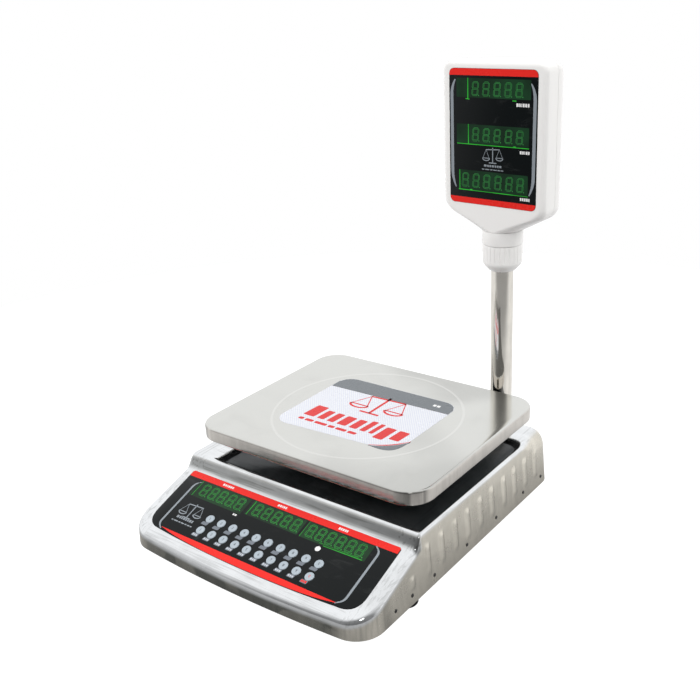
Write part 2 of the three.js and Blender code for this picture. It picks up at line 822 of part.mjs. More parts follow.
function clampNut() {
  const { bottom, shoulder, top, radius, flutes, depth } = NUT;
  const bore = poleOuter + BORE_CLEARANCE;
  const steps = flutes * 2;
  const rings = [[bore + 0.6, bottom], [radius, shoulder], [radius, top]];
  const points = [];
  for (const [r, z] of rings) {
    for (let i = 0; i < steps; i += 1) {
      const angle = (i / steps) * Math.PI * 2;
      const reach = r - (i % 2 && r === radius ? depth : 0);
      points.push(reach * Math.cos(angle), reach * Math.sin(angle), z);
    }
  }
  points.push(0, 0, bottom, 0, 0, top);
  const index = [];
  const centreLow = rings.length * steps;
  for (let i = 0; i < steps; i += 1) {
    const j = (i + 1) % steps;
    for (let ring = 0; ring + 1 < rings.length; ring += 1) {
      const a = ring * steps;
      const b = a + steps;
      index.push(a + i, a + j, b + j, a + i, b + j, b + i);
    }
    const last = (rings.length - 1) * steps;
    index.push(centreLow, j, i, centreLow + 1, last + i, last + j);
  }
  const geometry = new THREE.BufferGeometry();
  geometry.setAttribute('position', new THREE.Float32BufferAttribute(points, 3));
  geometry.setIndex(index);
  const threadBore = COLLAR.spigotRadius + GAP;
  return solid(geometry)
    .subtract(solid(post(bore, bottom - 5, top + 5, 24)))
    .subtract(solid(post(threadBore, COLLAR.spigotBottom - 1, top + 5, 24)));
}
piece('clamp_nut', clampNut(), finish.whitePlastic).position.set(POLE.x, POLE.y, 0);

const head = new THREE.Group();
head.position.set(POLE.x, POLE.y, 0);
head.rotation.z = radians(HEAD.turn);
scale.add(head);

const collarBore = poleOuter + BORE_CLEARANCE;
const collar = turned([
  [collarBore, COLLAR.spigotBottom], [COLLAR.spigotRadius, COLLAR.spigotBottom],
  [COLLAR.spigotRadius, NUT.top + GAP], [COLLAR.radius, NUT.top + GAP],
  [COLLAR.radius, COLLAR.top], [collarBore, COLLAR.top], [collarBore, COLLAR.spigotBottom],
], 28);
piece('head_collar', collar, finish.whitePlastic, head);

// In the head's frame the film faces -Y; the housing reaches from its front to its rear face
const headFront = -HEAD.filmAhead + GAP;
const headRear = headFront + HEAD.depth;

/** Skin through rings of points: each ring is [x, y, z] points, the ends are closed by fans. */
function skinned(rings) {
  const steps = rings[0].length;
  const points = rings.flat(2);
  const index = [];
  for (let ring = 0; ring + 1 < rings.length; ring += 1) {
    const a = ring * steps;
    const b = a + steps;
    for (let i = 0; i < steps; i += 1) {
      const j = (i + 1) % steps;
      index.push(a + i, a + j, b + j, a + i, b + j, b + i);
    }
  }
  const last = (rings.length - 1) * steps;
  for (let i = 1; i + 1 < steps; i += 1) {
    index.push(0, i + 1, i, last, last + i, last + i + 1);
  }
  const geometry = new THREE.BufferGeometry();
  geometry.setAttribute('position', new THREE.Float32BufferAttribute(points, 3));
  geometry.setIndex(index);
  return geometry;
}

/** Head's body inset by a distance: a rounded box over a funnel that narrows to the collar. */
function headBody(insetBy) {
  const { width, bottom, top, cornerFront, edgeFront, edgeRear } = HEAD;
  const corner = cornerFront - insetBy;
  const w = width / 2 - insetBy;
  const high = top - insetBy;
  const arcSteps = 4;
  // Ring around the housing seen from the front: funnel's foot, two slanted sides, box and top
  const ringAt = (y, pull) => {
    const foot = COLLAR.radius - insetBy - pull * 0.2;
    const footZ = COLLAR.top + GAP;
    const outline = [[-foot, footZ], [foot, footZ]];
    outline.push([w - pull - 3, bottom - 1 + insetBy * 0.5 + pull * 0.3]);
    outline.push([w - pull, bottom + 4 + insetBy * 0.5 + pull * 0.3]);
    for (let i = 0; i <= arcSteps; i += 1) {
      const angle = (Math.PI / 2) * (i / arcSteps);
      const cx = w - pull - corner;
      const cz = high - pull - corner;
      outline.push([cx + corner * Math.cos(angle), cz + corner * Math.sin(angle)]);
    }
    const mirrored = outline.slice(2).reverse().map(([x, z]) => [-x, z]);
    return [...outline, ...mirrored].map(([x, z]) => [x, y, z]);
  };
  const front = headFront + insetBy;
  const rear = headRear - insetBy;
  const rings = [];
  for (const [y, pull] of [
    [rear, edgeRear * 0.75], [rear - edgeRear * 0.25, edgeRear * 0.33], [rear - edgeRear * 0.8, 0],
    [front + edgeFront, 0], [front + edgeFront * 0.3, edgeFront * 0.3], [front, edgeFront],
  ]) {
    rings.push(ringAt(y, pull));
  }
  return skinned(rings);
}

function headShell(front) {
  const split = 0;
  const half = GAP / 2;
  const body = solid(headBody(0));
  const cavity = solid(headBody(HEAD.wall));
  let shell = body.subtract(cavity);
  shell = shell.subtract(solid(post(poleOuter + 0.6, 280, POLE.top + 3, 24)));
  const away = front
    ? block(-100, split - half, 200, 100, 100, 600)
    : block(-100, -100, 200, 100, split + half, 600);
  shell = shell.subtract(solid(away));
  if (front) {
    for (const { x, z } of HEAD_WINDOWS) {
      const low = HEAD.filmBottom + z[0] - 1;
      const high = HEAD.filmBottom + z[1] + 1;
      shell = shell.subtract(solid(block(x[0] - 1, -60, low, x[1] + 1, -15, high)));
    }
    // Shallow pocket that takes the film
    const width = HEAD.filmWidth + 2 * GAP;
    const height = HEAD.filmTop - HEAD.filmBottom + 2 * GAP;
    const middle = (HEAD.filmTop + HEAD.filmBottom) / 2;
    const pocket = prism(roundedRectangle(width, height, HEAD.filmCorner), 0, 10, 3);
    pocket.rotateX(Math.PI / 2);
    pocket.translate(0, headFront + HEAD.film, middle);
    shell = shell.subtract(solid(pocket));
  }
  return shell;
}
piece('head_front_shell', headShell(true), finish.whitePlastic, head);
piece('head_rear_shell', headShell(false), finish.whitePlastic, head);

const filmMiddle = (HEAD.filmTop + HEAD.filmBottom) / 2;
const filmHeight = HEAD.filmTop - HEAD.filmBottom;
const filmShape = roundedRectangle(HEAD.filmWidth, filmHeight, HEAD.filmCorner);
const headFilm = prism(filmShape, 0, HEAD.film, 3);
headFilm.rotateX(Math.PI / 2);
headFilm.translate(0, headFront + HEAD.film - GAP, filmMiddle);
piece('head_film', headFilm, finish.blackFilm, head);

for (const { name, x, z } of HEAD_WINDOWS) {
  const front = headFront + HEAD.film;
  const low = HEAD.filmBottom + z[0];
  const high = HEAD.filmBottom + z[1];
  const module = block(x[0], front, low, x[1], front + MODULE_DEPTH, high);
  piece(`head_display_${name}`, module, finish.display, head);
}
const boardFront = headFront + HEAD.film + MODULE_DEPTH + GAP;
const headBoard = block(-50, boardFront, 336, 50, boardFront + 1.6, 466);
piece('head_board', headBoard, finish.board, head);

export default scale;
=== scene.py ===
"""Retail price scale: a stainless steel counter scale with a square platter, a sloped operator's
panel with ten-by-two keys, and a customer's display head on a chromed pole.

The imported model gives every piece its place. Sizes in this file are millimetres in the scale's own
frame, +Z up and the front towards -Y, and a mesh is turned into metres only when it is made.
"""

import logging
import math
from dataclasses import dataclass
from enum import Enum
from typing import Sequence

import bpy
import bmesh
import numpy as np
from mathutils import Matrix, Vector

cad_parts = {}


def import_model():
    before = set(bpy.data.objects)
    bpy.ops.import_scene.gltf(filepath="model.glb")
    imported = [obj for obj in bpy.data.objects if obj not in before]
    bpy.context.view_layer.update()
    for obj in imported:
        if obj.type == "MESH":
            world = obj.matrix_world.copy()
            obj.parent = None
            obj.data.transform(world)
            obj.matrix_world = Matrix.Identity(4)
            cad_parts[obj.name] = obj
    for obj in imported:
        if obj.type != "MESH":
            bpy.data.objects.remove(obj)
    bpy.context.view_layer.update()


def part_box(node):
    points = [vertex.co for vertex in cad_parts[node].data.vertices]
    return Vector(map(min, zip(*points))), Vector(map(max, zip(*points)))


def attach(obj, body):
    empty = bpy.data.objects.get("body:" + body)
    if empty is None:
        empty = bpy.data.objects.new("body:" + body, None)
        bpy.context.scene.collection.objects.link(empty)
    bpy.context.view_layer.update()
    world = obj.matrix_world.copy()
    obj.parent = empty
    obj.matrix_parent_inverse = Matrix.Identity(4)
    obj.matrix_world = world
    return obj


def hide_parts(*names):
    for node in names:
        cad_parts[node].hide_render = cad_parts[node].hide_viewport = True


Array = np.ndarray
Colour = tuple[float, float, float]
Span = tuple[float, float]
Triple = tuple[float, float, float]

LOG = logging.getLogger("price_scale")
MM = 0.001
PRINT = 0.05                     # thickness of one printed layer
SUNK = 0.02                      # how far a print's foot is sunk into its film

PANEL_SLOPE = math.radians(19.24)
PANEL_AT = (-112.5, 59.6)        # y and z of the upper edge of the sloped panel's film
PANEL_SINE, PANEL_COSINE = math.sin(PANEL_SLOPE), math.cos(PANEL_SLOPE)
STEEL_UNDER_FILM = 0.6
PANEL_LEVEL = (PANEL_AT[1] - STEEL_UNDER_FILM / PANEL_COSINE
               - PANEL_AT[0] * math.tan(PANEL_SLOPE))  # height of the slope's plane at y = 0
POLE_AT = (85.1, 182.7)          # x and y of the pole's axis
FIGURE_ROWS = ("weight", "price", "total")


# ---- Surfaces as arrays ----

@dataclass
class Surface:
    """A mesh in millimetres: points and the faces that join them, seen from outside."""

    points: Array
    faces: list[list[int]]

    @staticmethod
    def joined(parts: Sequence["Surface"]) -> "Surface":
        """All parts as one surface, each with its own points."""
        starts = np.cumsum([0] + [len(part.points) for part in parts])
        faces = [[i + int(start) for i in face]
                 for part, start in zip(parts, starts) for face in part.faces]
        return Surface(np.concatenate([part.points for part in parts]), faces)

    def placed(self, placing: "Placing") -> "Surface":
        """The same surface carried from a placing's own axes into the scale's frame."""
        return Surface(placing.carry(self.points), self.faces)


@dataclass(frozen=True)
class Placing:
    """A frame of its own in the scale's frame: its origin and its three axes."""

    origin: Triple
    across: Triple
    along: Triple
    out: Triple

    def carry(self, points: Array) -> Array:
        """Origin plus each coordinate times its axis."""
        return np.array(self.origin) + points @ np.array([self.across, self.along, self.out])


def unit(vectors: Array) -> Array:
    """Vectors divided by their lengths."""
    length = np.linalg.norm(vectors, axis=-1, keepdims=True)
    return vectors / np.maximum(length, 1e-9)


def smooth_step(value: Array | float, low: float, high: float) -> Array:
    """Rises from 0 at low to 1 at high along 3t^2 - 2t^3."""
    t = np.clip((np.asarray(value, float) - low) / (high - low), 0.0, 1.0)
    return t * t * (3.0 - 2.0 * t)


def softened(corners: Array, cuts: Array | float, steps: int = 6, closed: bool = True) -> Array:
    """A polyline with round corners.

    Each corner P is replaced by the circular arc that touches both sides at the cut distance:
    the rational curve ((1-t)^2 A + 2 t (1-t) w P + t^2 B) / ((1-t)^2 + 2 t (1-t) w + t^2), where
    w is the sine of half the corner's inner angle.

    Args:
        corners: Points of the polyline, one row each.
        cuts: Distance of the arc's ends from each corner.
        steps: Points on each arc.
        closed: Whether the last point joins the first.

    Returns:
        The points of the rounded polyline.
    """
    corners = np.asarray(corners, float)
    cuts = np.broadcast_to(np.asarray(cuts, float), (len(corners),))
    back = unit(np.roll(corners, 1, 0) - corners)
    ahead = unit(np.roll(corners, -1, 0) - corners)
    weight = np.sqrt(np.clip((1.0 - (back * ahead).sum(1)) / 2.0, 0.0, 1.0))[:, None, None]
    start = (corners + back * cuts[:, None])[:, None]
    end = (corners + ahead * cuts[:, None])[:, None]
    t = np.linspace(0.0, 1.0, steps)[None, :, None]
    middle = 2.0 * t * (1.0 - t) * weight
    arcs = (1.0 - t) ** 2 * start + middle * corners[:, None] + t ** 2 * end
    arcs = arcs / ((1.0 - t) ** 2 + middle + t ** 2)
    if closed:
        return arcs.reshape(-1, corners.shape[1])
    inner = arcs[1:-1].reshape(-1, corners.shape[1])
    return np.concatenate([corners[:1], inner, corners[-1:]])


def rounded_rectangle(across: Span, along: Span, radius: Array | float, steps: int = 7) -> Array:
    """Rectangle with round corners, counter-clockwise from its lower left."""
    (x0, x1), (y0, y1) = across, along
    return softened(np.array([[x0, y0], [x1, y0], [x1, y1], [x0, y1]]), radius, steps)


def disc(x: float, y: float, radius: float, steps: int = 28) -> Array:
    """Circle as an outline."""
    turn = np.linspace(0.0, 2.0 * math.pi, steps, endpoint=False)
    return np.stack([x + radius * np.cos(turn), y + radius * np.sin(turn)], -1)


def grown(outline: Array, amount: float) -> Array:
    """Outline moved outwards: each point goes along the mitre of its two sides' normals, by the
    amount over the cosine between mitre and side."""
    before = unit(outline - np.roll(outline, 1, -2))
    after = unit(np.roll(outline, -1, -2) - outline)
    normal = np.stack([before[..., 1], -before[..., 0]], -1)
    following = np.stack([after[..., 1], -after[..., 0]], -1)
    mitre = unit(normal + following)
    share = np.clip((mitre * normal).sum(-1, keepdims=True), 0.4, 1.0)
    return outline + mitre * amount / share


def raised(outline: Array, height: Array | float) -> Array:
    """Outline points given a third coordinate."""
    level = np.broadcast_to(np.asarray(height, float), outline.shape[:-1])
    return np.concatenate([outline, level[..., None]], -1)


def skin(rings: Array, closed_ends: bool = True, looped: bool = False) -> Surface:
    """Surface through rings of points.

    Point i of ring k joins points i + 1 and rings k + 1, so a surface is a function of the way
    round and the way up. Rings run counter-clockwise seen from the end that they rise towards.

    Args:
        rings: Array of rings, points and coordinates.
        closed_ends: Whether the first and last rings are capped.
        looped: Whether the last ring joins the first, as on a tube's wall.

    Returns:
        The surface, with its faces outwards.
    """
    rows, columns = rings.shape[:2]
    index = np.arange(rows * columns).reshape(rows, columns)
    upper = np.roll(index, -1, 0) if looped else index[1:]
    lower = index if looped else index[:-1]
    quads = np.stack([lower, np.roll(lower, -1, 1), np.roll(upper, -1, 1), upper], -1)
    faces = quads.reshape(-1, 4).tolist()
    if closed_ends and not looped:
        faces += [index[0, ::-1].tolist(), index[-1].tolist()]
    return Surface(rings.reshape(-1, 3), faces)


def plates(outlines: Array, low: float, high: float) -> Surface:
    """Flat prisms over many outlines of the same number of points, counter-clockwise each."""
    outlines = outlines[None] if outlines.ndim == 2 else outlines
    count, steps = outlines.shape[:2]
    levels = np.stack([raised(outlines, low), raised(outlines, high)], 1)
    index = np.arange(count * 2 * steps).reshape(count, 2, steps)
    low_ring, high_ring = index[:, 0], index[:, 1]
    sides = np.stack([low_ring, np.roll(low_ring, -1, 1), np.roll(high_ring, -1, 1), high_ring], -1)
    faces = sides.reshape(-1, 4).tolist() + low_ring[:, ::-1].tolist() + high_ring.tolist()
    return Surface(levels.reshape(-1, 3), faces)


def cushioned_plate(outline: Array, low: float, high: float, edge: float) -> Surface:
    """Prism whose upper edge is rounded over: the outline shrinks by edge (1 - cos t) while it
    rises by edge sin t."""
    turn = np.linspace(0.0, math.pi / 2.0, 4)
    rings = [raised(outline, low)]
    rings += [raised(grown(outline, -edge * (1.0 - math.cos(t))), high - edge + edge * math.sin(t))
              for t in turn]
    return skin(np.stack(rings))


def box_between(low: Sequence[float], high: Sequence[float]) -> Surface:
    """Upright block between two corners."""
    (x0, y0, z0), (x1, y1, z1) = low, high
    return plates(np.array([[x0, y0], [x1, y0], [x1, y1], [x0, y1]], float), z0, z1)


def turned(profile: Array, steps: int = 64, centre: Span = (0.0, 0.0),
           looped: bool = False) -> Surface:
    """Solid of revolution: each point (r, z) of the profile becomes a circle about the centre.

    Args:
        profile: Rows of radius and height, upwards along the outside.
        steps: Points round each circle.
        centre: Place of the axis.
        looped: Whether the profile closes on itself, as for a sleeve.

    Returns:
        The closed surface.
    """
    profile = np.asarray(profile, float)
    turn = np.linspace(0.0, 2.0 * math.pi, steps, endpoint=False)
    circle = np.stack([np.cos(turn), np.sin(turn)], -1)
    plan = profile[:, None, :1] * circle[None] + np.array(centre)
    return skin(raised(plan, profile[:, 1:]), looped=looped)


def band(left: Array, right: Array, low: float, high: float) -> Surface:
    """Flat strip between two edges, given as equal numbers of points on its left and right."""
    plan = np.stack([left, left, right, right], 1)
    return skin(raised(plan, np.array([low, high, high, low])[None]))


def stroke(path: Array, width: Array | float, low: float, high: float) -> Surface:
    """Line of a given width drawn along a path: each point moves half the width to both sides."""
    path = np.asarray(path, float)
    heading = unit(np.gradient(path, axis=0))
    side = np.stack([-heading[:, 1], heading[:, 0]], -1)
    half = np.broadcast_to(np.asarray(width, float), (len(path),))[:, None] / 2.0
    return band(path + side * half, path - side * half, low, high)


CAPITAL_SHARE = 0.7              # height of a figure in the built-in typeface, as a share


def numeral(text: str, height: float, x: float, y: float, low: float, high: float) -> Surface:
    """A figure in the plain built-in typeface, centred on a point and given a thickness."""
    curve = bpy.data.curves.new("numeral", "FONT")
    curve.body, curve.size, curve.resolution_u = text, height / CAPITAL_SHARE, 3
    curve.align_x, curve.align_y, curve.extrude = "CENTER", "CENTER", (high - low) / 2.0
    holder = bpy.data.objects.new("numeral", curve)
    bpy.context.scene.collection.objects.link(holder)
    shown = holder.evaluated_get(bpy.context.evaluated_depsgraph_get())
    mesh = shown.to_mesh()
    points = np.empty(len(mesh.vertices) * 3, np.float32)
    mesh.vertices.foreach_get("co", points)
    faces = [list(face.vertices) for face in mesh.polygons]
    shown.to_mesh_clear()
    bpy.data.objects.remove(holder)
    bpy.data.curves.remove(curve)
    shift = np.array([x, y, (low + high) / 2.0])
    return Surface(points.reshape(-1, 3).astype(float) + shift, faces)


# ---- Pieces ----

def extent(node: str) -> tuple[Array, Array]:
    """Lowest and highest corner of a CAD node in millimetres."""
    low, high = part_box(node)
    return np.array(low) / MM, np.array(high) / MM


def standing(node: str) -> tuple[Array, float, float]:
    """Middle in plan of a CAD node, its foot and its head."""
    low, high = extent(node)
    return (low[:2] + high[:2]) / 2.0, low[2], high[2]


@dataclass
class Part:
    """A surface and the finish that it wears."""

    surface: Surface
    finish: bpy.types.Material


@dataclass(frozen=True)
class Craft:
    """How a piece is finished after its surface is made."""

    smooth: float = 32.0         # faces that meet at less than this many degrees are shaded smooth
    wall: float = 0.0            # thickness given inwards to an open surface
    cut: Surface | None = None   # what is taken out of the piece


def settle(obj: bpy.types.Object) -> None:
    """Turns an object's modifiers into its mesh."""
    bpy.context.view_layer.update()
    shown = obj.evaluated_get(bpy.context.evaluated_depsgraph_get())
    mesh = bpy.data.meshes.new_from_object(shown)
    obj.modifiers.clear()
    obj.data = mesh


def mesh_object(name: str, parts: Sequence[Part]) -> bpy.types.Object:
    """Object made of parts, in metres, with one material slot for each part's finish."""
    whole = Surface.joined([part.surface for part in parts])
    mesh = bpy.data.meshes.new(name)
    mesh.from_pydata((whole.points * MM).tolist(), [], whole.faces)
    finishes = list(dict.fromkeys(part.finish for part in parts))
    for finish in finishes:
        mesh.materials.append(finish)
    slots = np.repeat([finishes.index(part.finish) for part in parts],
                      [len(part.surface.faces) for part in parts])
    mesh.polygons.foreach_set("material_index", slots.astype(np.int32))
    obj = bpy.data.objects.new(name, mesh)
    bpy.context.scene.collection.objects.link(obj)
    return obj


def shade(mesh: bpy.types.Mesh, angle: float) -> None:
    """Smooth shading, broken along edges sharper than the angle in degrees."""
    mesh.shade_smooth()
    mesh.set_sharp_from_angle(angle=math.radians(angle))


def carve(obj: bpy.types.Object, cutter: Surface) -> None:
    """Takes a closed surface out of an object."""
    tool = mesh_object(obj.name + "_cutter", [Part(cutter, obj.data.materials[0])])
    modifier = obj.modifiers.new("opening", "BOOLEAN")
    modifier.operation, modifier.solver, modifier.object = "DIFFERENCE", "EXACT", tool
    settle(obj)
    spare = tool.data
    bpy.data.objects.remove(tool)
    bpy.data.meshes.remove(spare)


def make_piece(name: str, parts: Sequence[Part], body: str,
               replaces: Sequence[str] = (), craft: Craft = Craft()) -> None:
    """Makes one finished piece of the scale, at the origin, with its place in its mesh.

    Args:
        name: Name of the piece.
        parts: Its surfaces and their finishes.
        body: CAD body that it moves with.
        replaces: CAD nodes that it stands for.
        craft: Wall thickness, openings and shading.
    """
    obj = mesh_object(name, parts)
    if craft.wall:
        modifier = obj.modifiers.new("wall", "SOLIDIFY")
        modifier.thickness, modifier.offset = craft.wall * MM, -1.0
        settle(obj)
    if craft.cut is not None:
        carve(obj, craft.cut)
    shade(obj.data, craft.smooth)
    enrol(obj, body, replaces)


def enrol(obj: bpy.types.Object, body: str, replaces: Sequence[str]) -> None:
    """Ties a piece to its body and the CAD nodes that it stands for, and reports it."""
    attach(obj, body)
    if replaces:
        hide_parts(*replaces)
    LOG.info("%s: %d faces on %s", obj.name, len(obj.data.polygons), body)


SAME_POINT = 0.005               # points nearer than this are merged
FLAT_ANGLE = 0.5                 # faces that meet at less than this many degrees become one
EDGE_ANGLE = 30.0                # edges sharper than this are rounded
REFINED_SMOOTH = 40.0            # and those that meet at less are shaded smooth


def refined(node: str, name: str, finish: bpy.types.Material, body: str, slot: str,
            edge: float, steps: int = 2) -> None:
    """Makes a piece from a CAD node's shape by rounding its edges.

    Args:
        node: CAD node whose mesh is copied and then stood in for.
        name: Name of the new piece.
        finish: Its material.
        body: CAD body that it moves with.
        slot: Material slot name; not used.
        edge: Width of the rounding in millimetres.
        steps: Faces across each rounding.
    """
    work = bmesh.new()
    work.from_mesh(bpy.data.objects[node].data)
    bmesh.ops.remove_doubles(work, verts=work.verts, dist=SAME_POINT * MM)
    bmesh.ops.dissolve_limit(work, angle_limit=math.radians(FLAT_ANGLE), verts=work.verts,
                             edges=work.edges)
    mesh = bpy.data.meshes.new(name)
    work.to_mesh(mesh)
    work.free()
    mesh.materials.append(finish)
    obj = bpy.data.objects.new(name, mesh)
    bpy.context.scene.collection.objects.link(obj)
    modifier = obj.modifiers.new("edge", "BEVEL")
    modifier.width, modifier.segments = edge * MM, steps
    modifier.limit_method, modifier.angle_limit = "ANGLE", math.radians(EDGE_ANGLE)
    settle(obj)
    shade(obj.data, REFINED_SMOOTH)
    enrol(obj, body, [node])


# ---- Shader maths ----

@dataclass(frozen=True)
class Pattern:
    """Fractal noise over a surface.

    Attributes:
        scale: Its largest features in a metre.
        detail: Number of finer layers.
        rough: Strength of each layer, as a share of the one before.
        warp: How much it is distorted.
        shown: Values between which it rises from 0 to 1, if it isn't used as it is.
        stretch: Its density along each axis.
        turn: Its turn about Z in degrees.
    """

    scale: float
    detail: float = 2.0
    rough: float = 0.5
    warp: float = 0.0
    shown: Span | None = None
    stretch: Triple = (1.0, 1.0, 1.0)
    turn: float = 0.0


def scaled(tone: Colour, share: float) -> Colour:
    """A colour made darker by a share."""
    return tuple(c * share for c in tone)


class Signal:
    """A shader socket that takes part in Python arithmetic: each operator adds one Math node."""

    def __init__(self, graph: "Graph", socket: bpy.types.NodeSocket) -> None:
        """Wraps an output socket of a node in a graph."""
        self.graph, self.socket = graph, socket

    def math(self, operation: str, *others: "Signal | float", flip: bool = False) -> "Signal":
        """Result of a Math node on this value and others, in reversed order if flipped."""
        values = (self, *others)
        values = values[::-1] if flip else values
        return self.graph.node("ShaderNodeMath", {"operation": operation},
                               dict(enumerate(values)))["Value"]

    def __add__(self, other: "Signal | float") -> "Signal":
        """Sum."""
        return self.math("ADD", other)

    def __radd__(self, other: float) -> "Signal":
        """Sum, from the right."""
        return self.math("ADD", other, flip=True)

    def __sub__(self, other: "Signal | float") -> "Signal":
        """Difference."""
        return self.math("SUBTRACT", other)

    def __rsub__(self, other: float) -> "Signal":
        """Difference, from the right."""
        return self.math("SUBTRACT", other, flip=True)

    def __mul__(self, other: "Signal | float") -> "Signal":
        """Product."""
        return self.math("MULTIPLY", other)

    def __rmul__(self, other: float) -> "Signal":
        """Product, from the right."""
        return self.math("MULTIPLY", other, flip=True)

    def ramp(self, low: float, high: float, start: float = 0.0, end: float = 1.0) -> "Signal":
        """Smooth rise from start to end while the value goes from low to high."""
        return self.graph.node(
            "ShaderNodeMapRange", {"interpolation_type": "SMOOTHSTEP"},
            {"Value": self, "From Min": low, "From Max": high, "To Min": start,
             "To Max": end})["Result"]


class Outputs:
    """A node's outputs by name, as signals."""

    def __init__(self, graph: "Graph", node: bpy.types.Node) -> None:
        """Keeps the node."""
        self.graph, self.node = graph, node

    def __getitem__(self, name: str) -> Signal:
        """The named output that isn't hidden or switched off."""
        found = [s for s in self.node.outputs if s.name == name and s.enabled]
        return Signal(self.graph, found[0])


class Graph:
    """The node tree of one material."""

    def __init__(self, name: str) -> None:
        """Makes the material with its shader and keeps both."""
        self.material = bpy.data.materials.new(name)
        self.material.use_nodes = True
        self.tree = self.material.node_tree
        self.shader = self.tree.nodes["Principled BSDF"]
        self.object_place = self.node("ShaderNodeTexCoord", {}, {})["Object"]

    def node(self, kind: str, settings: dict, inputs: dict) -> Outputs:
        """Adds a node.

        Args:
            kind: Type of the node.
            settings: Its properties, set before its sockets.
            inputs: Values or signals by socket name or number.

        Returns:
            The node's outputs.
        """
        node = self.tree.nodes.new(kind)
        for name, value in settings.items():
            setattr(node, name, value)
        for name, value in inputs.items():
            self.feed(node, name, value)
        return Outputs(self, node)

    def feed(self, node: bpy.types.Node, name: str | int, value: object) -> None:
        """Sets or links one input of a node, picking the one that is switched on."""
        if isinstance(name, int):
            socket = node.inputs[name]
        else:
            socket = [s for s in node.inputs if s.name == name and s.enabled][0]
        if isinstance(value, Signal):
            self.tree.links.new(value.socket, socket)
        elif socket.type == "RGBA":
            socket.default_value = (*value, 1.0)
        else:
            socket.default_value = value

    def spot(self, stretch: Triple = (1.0, 1.0, 1.0), turn: float = 0.0,
             centre: Triple = (0.0, 0.0, 0.0)) -> Signal:
        """Object coordinates from a centre in mm, turned by degrees about Z and stretched."""
        moved = self.node("ShaderNodeVectorMath", {"operation": "SUBTRACT"},
                          {0: self.object_place, 1: tuple(c * MM for c in centre)})["Vector"]
        return self.node("ShaderNodeMapping", {}, {
            "Vector": moved, "Rotation": (0.0, 0.0, math.radians(turn)),
            "Scale": stretch})["Vector"]

    def axis(self, name: str, place: Signal | None = None) -> Signal:
        """One coordinate, in millimetres, of object space or of a given place."""
        parts = self.node("ShaderNodeSeparateXYZ", {}, {"Vector": place or self.object_place})
        return parts[name] * (1.0 / MM)

    def pattern(self, pattern: Pattern, place: Signal | None = None) -> Signal:
        """Fractal noise from 0 to 1 at the pattern's own place, or at a given one."""
        noise = self.node("ShaderNodeTexNoise", {}, {
            "Vector": place or self.spot(pattern.stretch, pattern.turn),
            "Scale": pattern.scale, "Detail": pattern.detail, "Roughness": pattern.rough,
            "Distortion": pattern.warp})["Fac"]
        return noise.ramp(*pattern.shown) if pattern.shown else noise

    def blend(self, factor: Signal | float, first: object, second: object) -> Signal:
        """Mix of two colours."""
        return self.node("ShaderNodeMix", {"data_type": "RGBA"},
                         {"Factor": factor, "A": first, "B": second})["Result"]

    def bump(self, height: Signal, distance: float, under: Signal | None = None) -> Signal:
        """Normal pushed by a height from 0 to 1 that stands for a distance in millimetres."""
        inputs = {"Height": height, "Distance": distance * MM, "Strength": 1.0}
        if under is not None:
            inputs["Normal"] = under
        return self.node("ShaderNodeBump", {}, inputs)["Normal"]

    def finish(self, **values: object) -> bpy.types.Material:
        """Feeds the shader's sockets, named with underscores for spaces."""
        for name, value in values.items():
            self.feed(self.shader, name.replace("_", " "), value)
        return self.material


# ---- Finishes ----

class Grain(Enum):
    """Direction in which sheet steel was brushed, as a stretch of its pattern."""

    ACROSS = (3.0, 260.0, 260.0)
    UPRIGHT = (260.0, 260.0, 3.0)
    ROLLED = (120.0, 4.0, 120.0)


@dataclass(frozen=True)
class SheetSteel:
    """Stainless sheet: fine brush lines, cloudy handling marks and slight waviness.

    Attributes:
        tone: Colour of the clean metal.
        roughness: Roughness of the clean metal.
        grain: Direction of the brush lines.
        shade: How much darker the marks are, as a share.
        mark_rough: How much the marks roughen it.
        line_rough: How much the brush lines roughen it.
        scratch_rough: How much the scratches roughen it.
        wave: Height of the sheet's waviness in millimetres.
        brushing: Height of the brush lines in millimetres.
    """

    name: str
    tone: Colour
    roughness: float
    grain: Grain = Grain.ACROSS
    shade: float = 0.1
    mark_rough: float = 0.06
    line_rough: float = 0.06
    scratch_rough: float = 0.05
    wave: float = 0.02
    brushing: float = 0.004
    lines: Pattern = Pattern(6.0, 3.0, 0.6)
    marks: Pattern = Pattern(26.0, 4.0, 0.62, 0.4, (0.42, 0.72))
    scratches: Pattern = Pattern(2.0, shown=(0.66, 0.74), stretch=(30.0, 900.0, 30.0), turn=28.0)
    waves: Pattern = Pattern(14.0, 2.0, 0.45)

    def material(self) -> bpy.types.Material:
        """Base colour falls and roughness rises with cloud noise; the normal takes long waves
        first and brush lines over them."""
        graph = Graph(self.name)
        lines = graph.pattern(self.lines, graph.spot(self.grain.value))
        marks, scratches = graph.pattern(self.marks), graph.pattern(self.scratches)
        colour = graph.blend(marks, self.tone, scaled(self.tone, 1.0 - self.shade))
        rough = (marks * self.mark_rough + lines * self.line_rough
                 + scratches * self.scratch_rough + (self.roughness - self.line_rough / 2.0))
        normal = graph.bump(graph.pattern(self.waves), self.wave)
        normal = graph.bump(lines, self.brushing, normal)
        return graph.finish(Base_Color=colour, Metallic=1.0, Roughness=rough, Normal=normal)


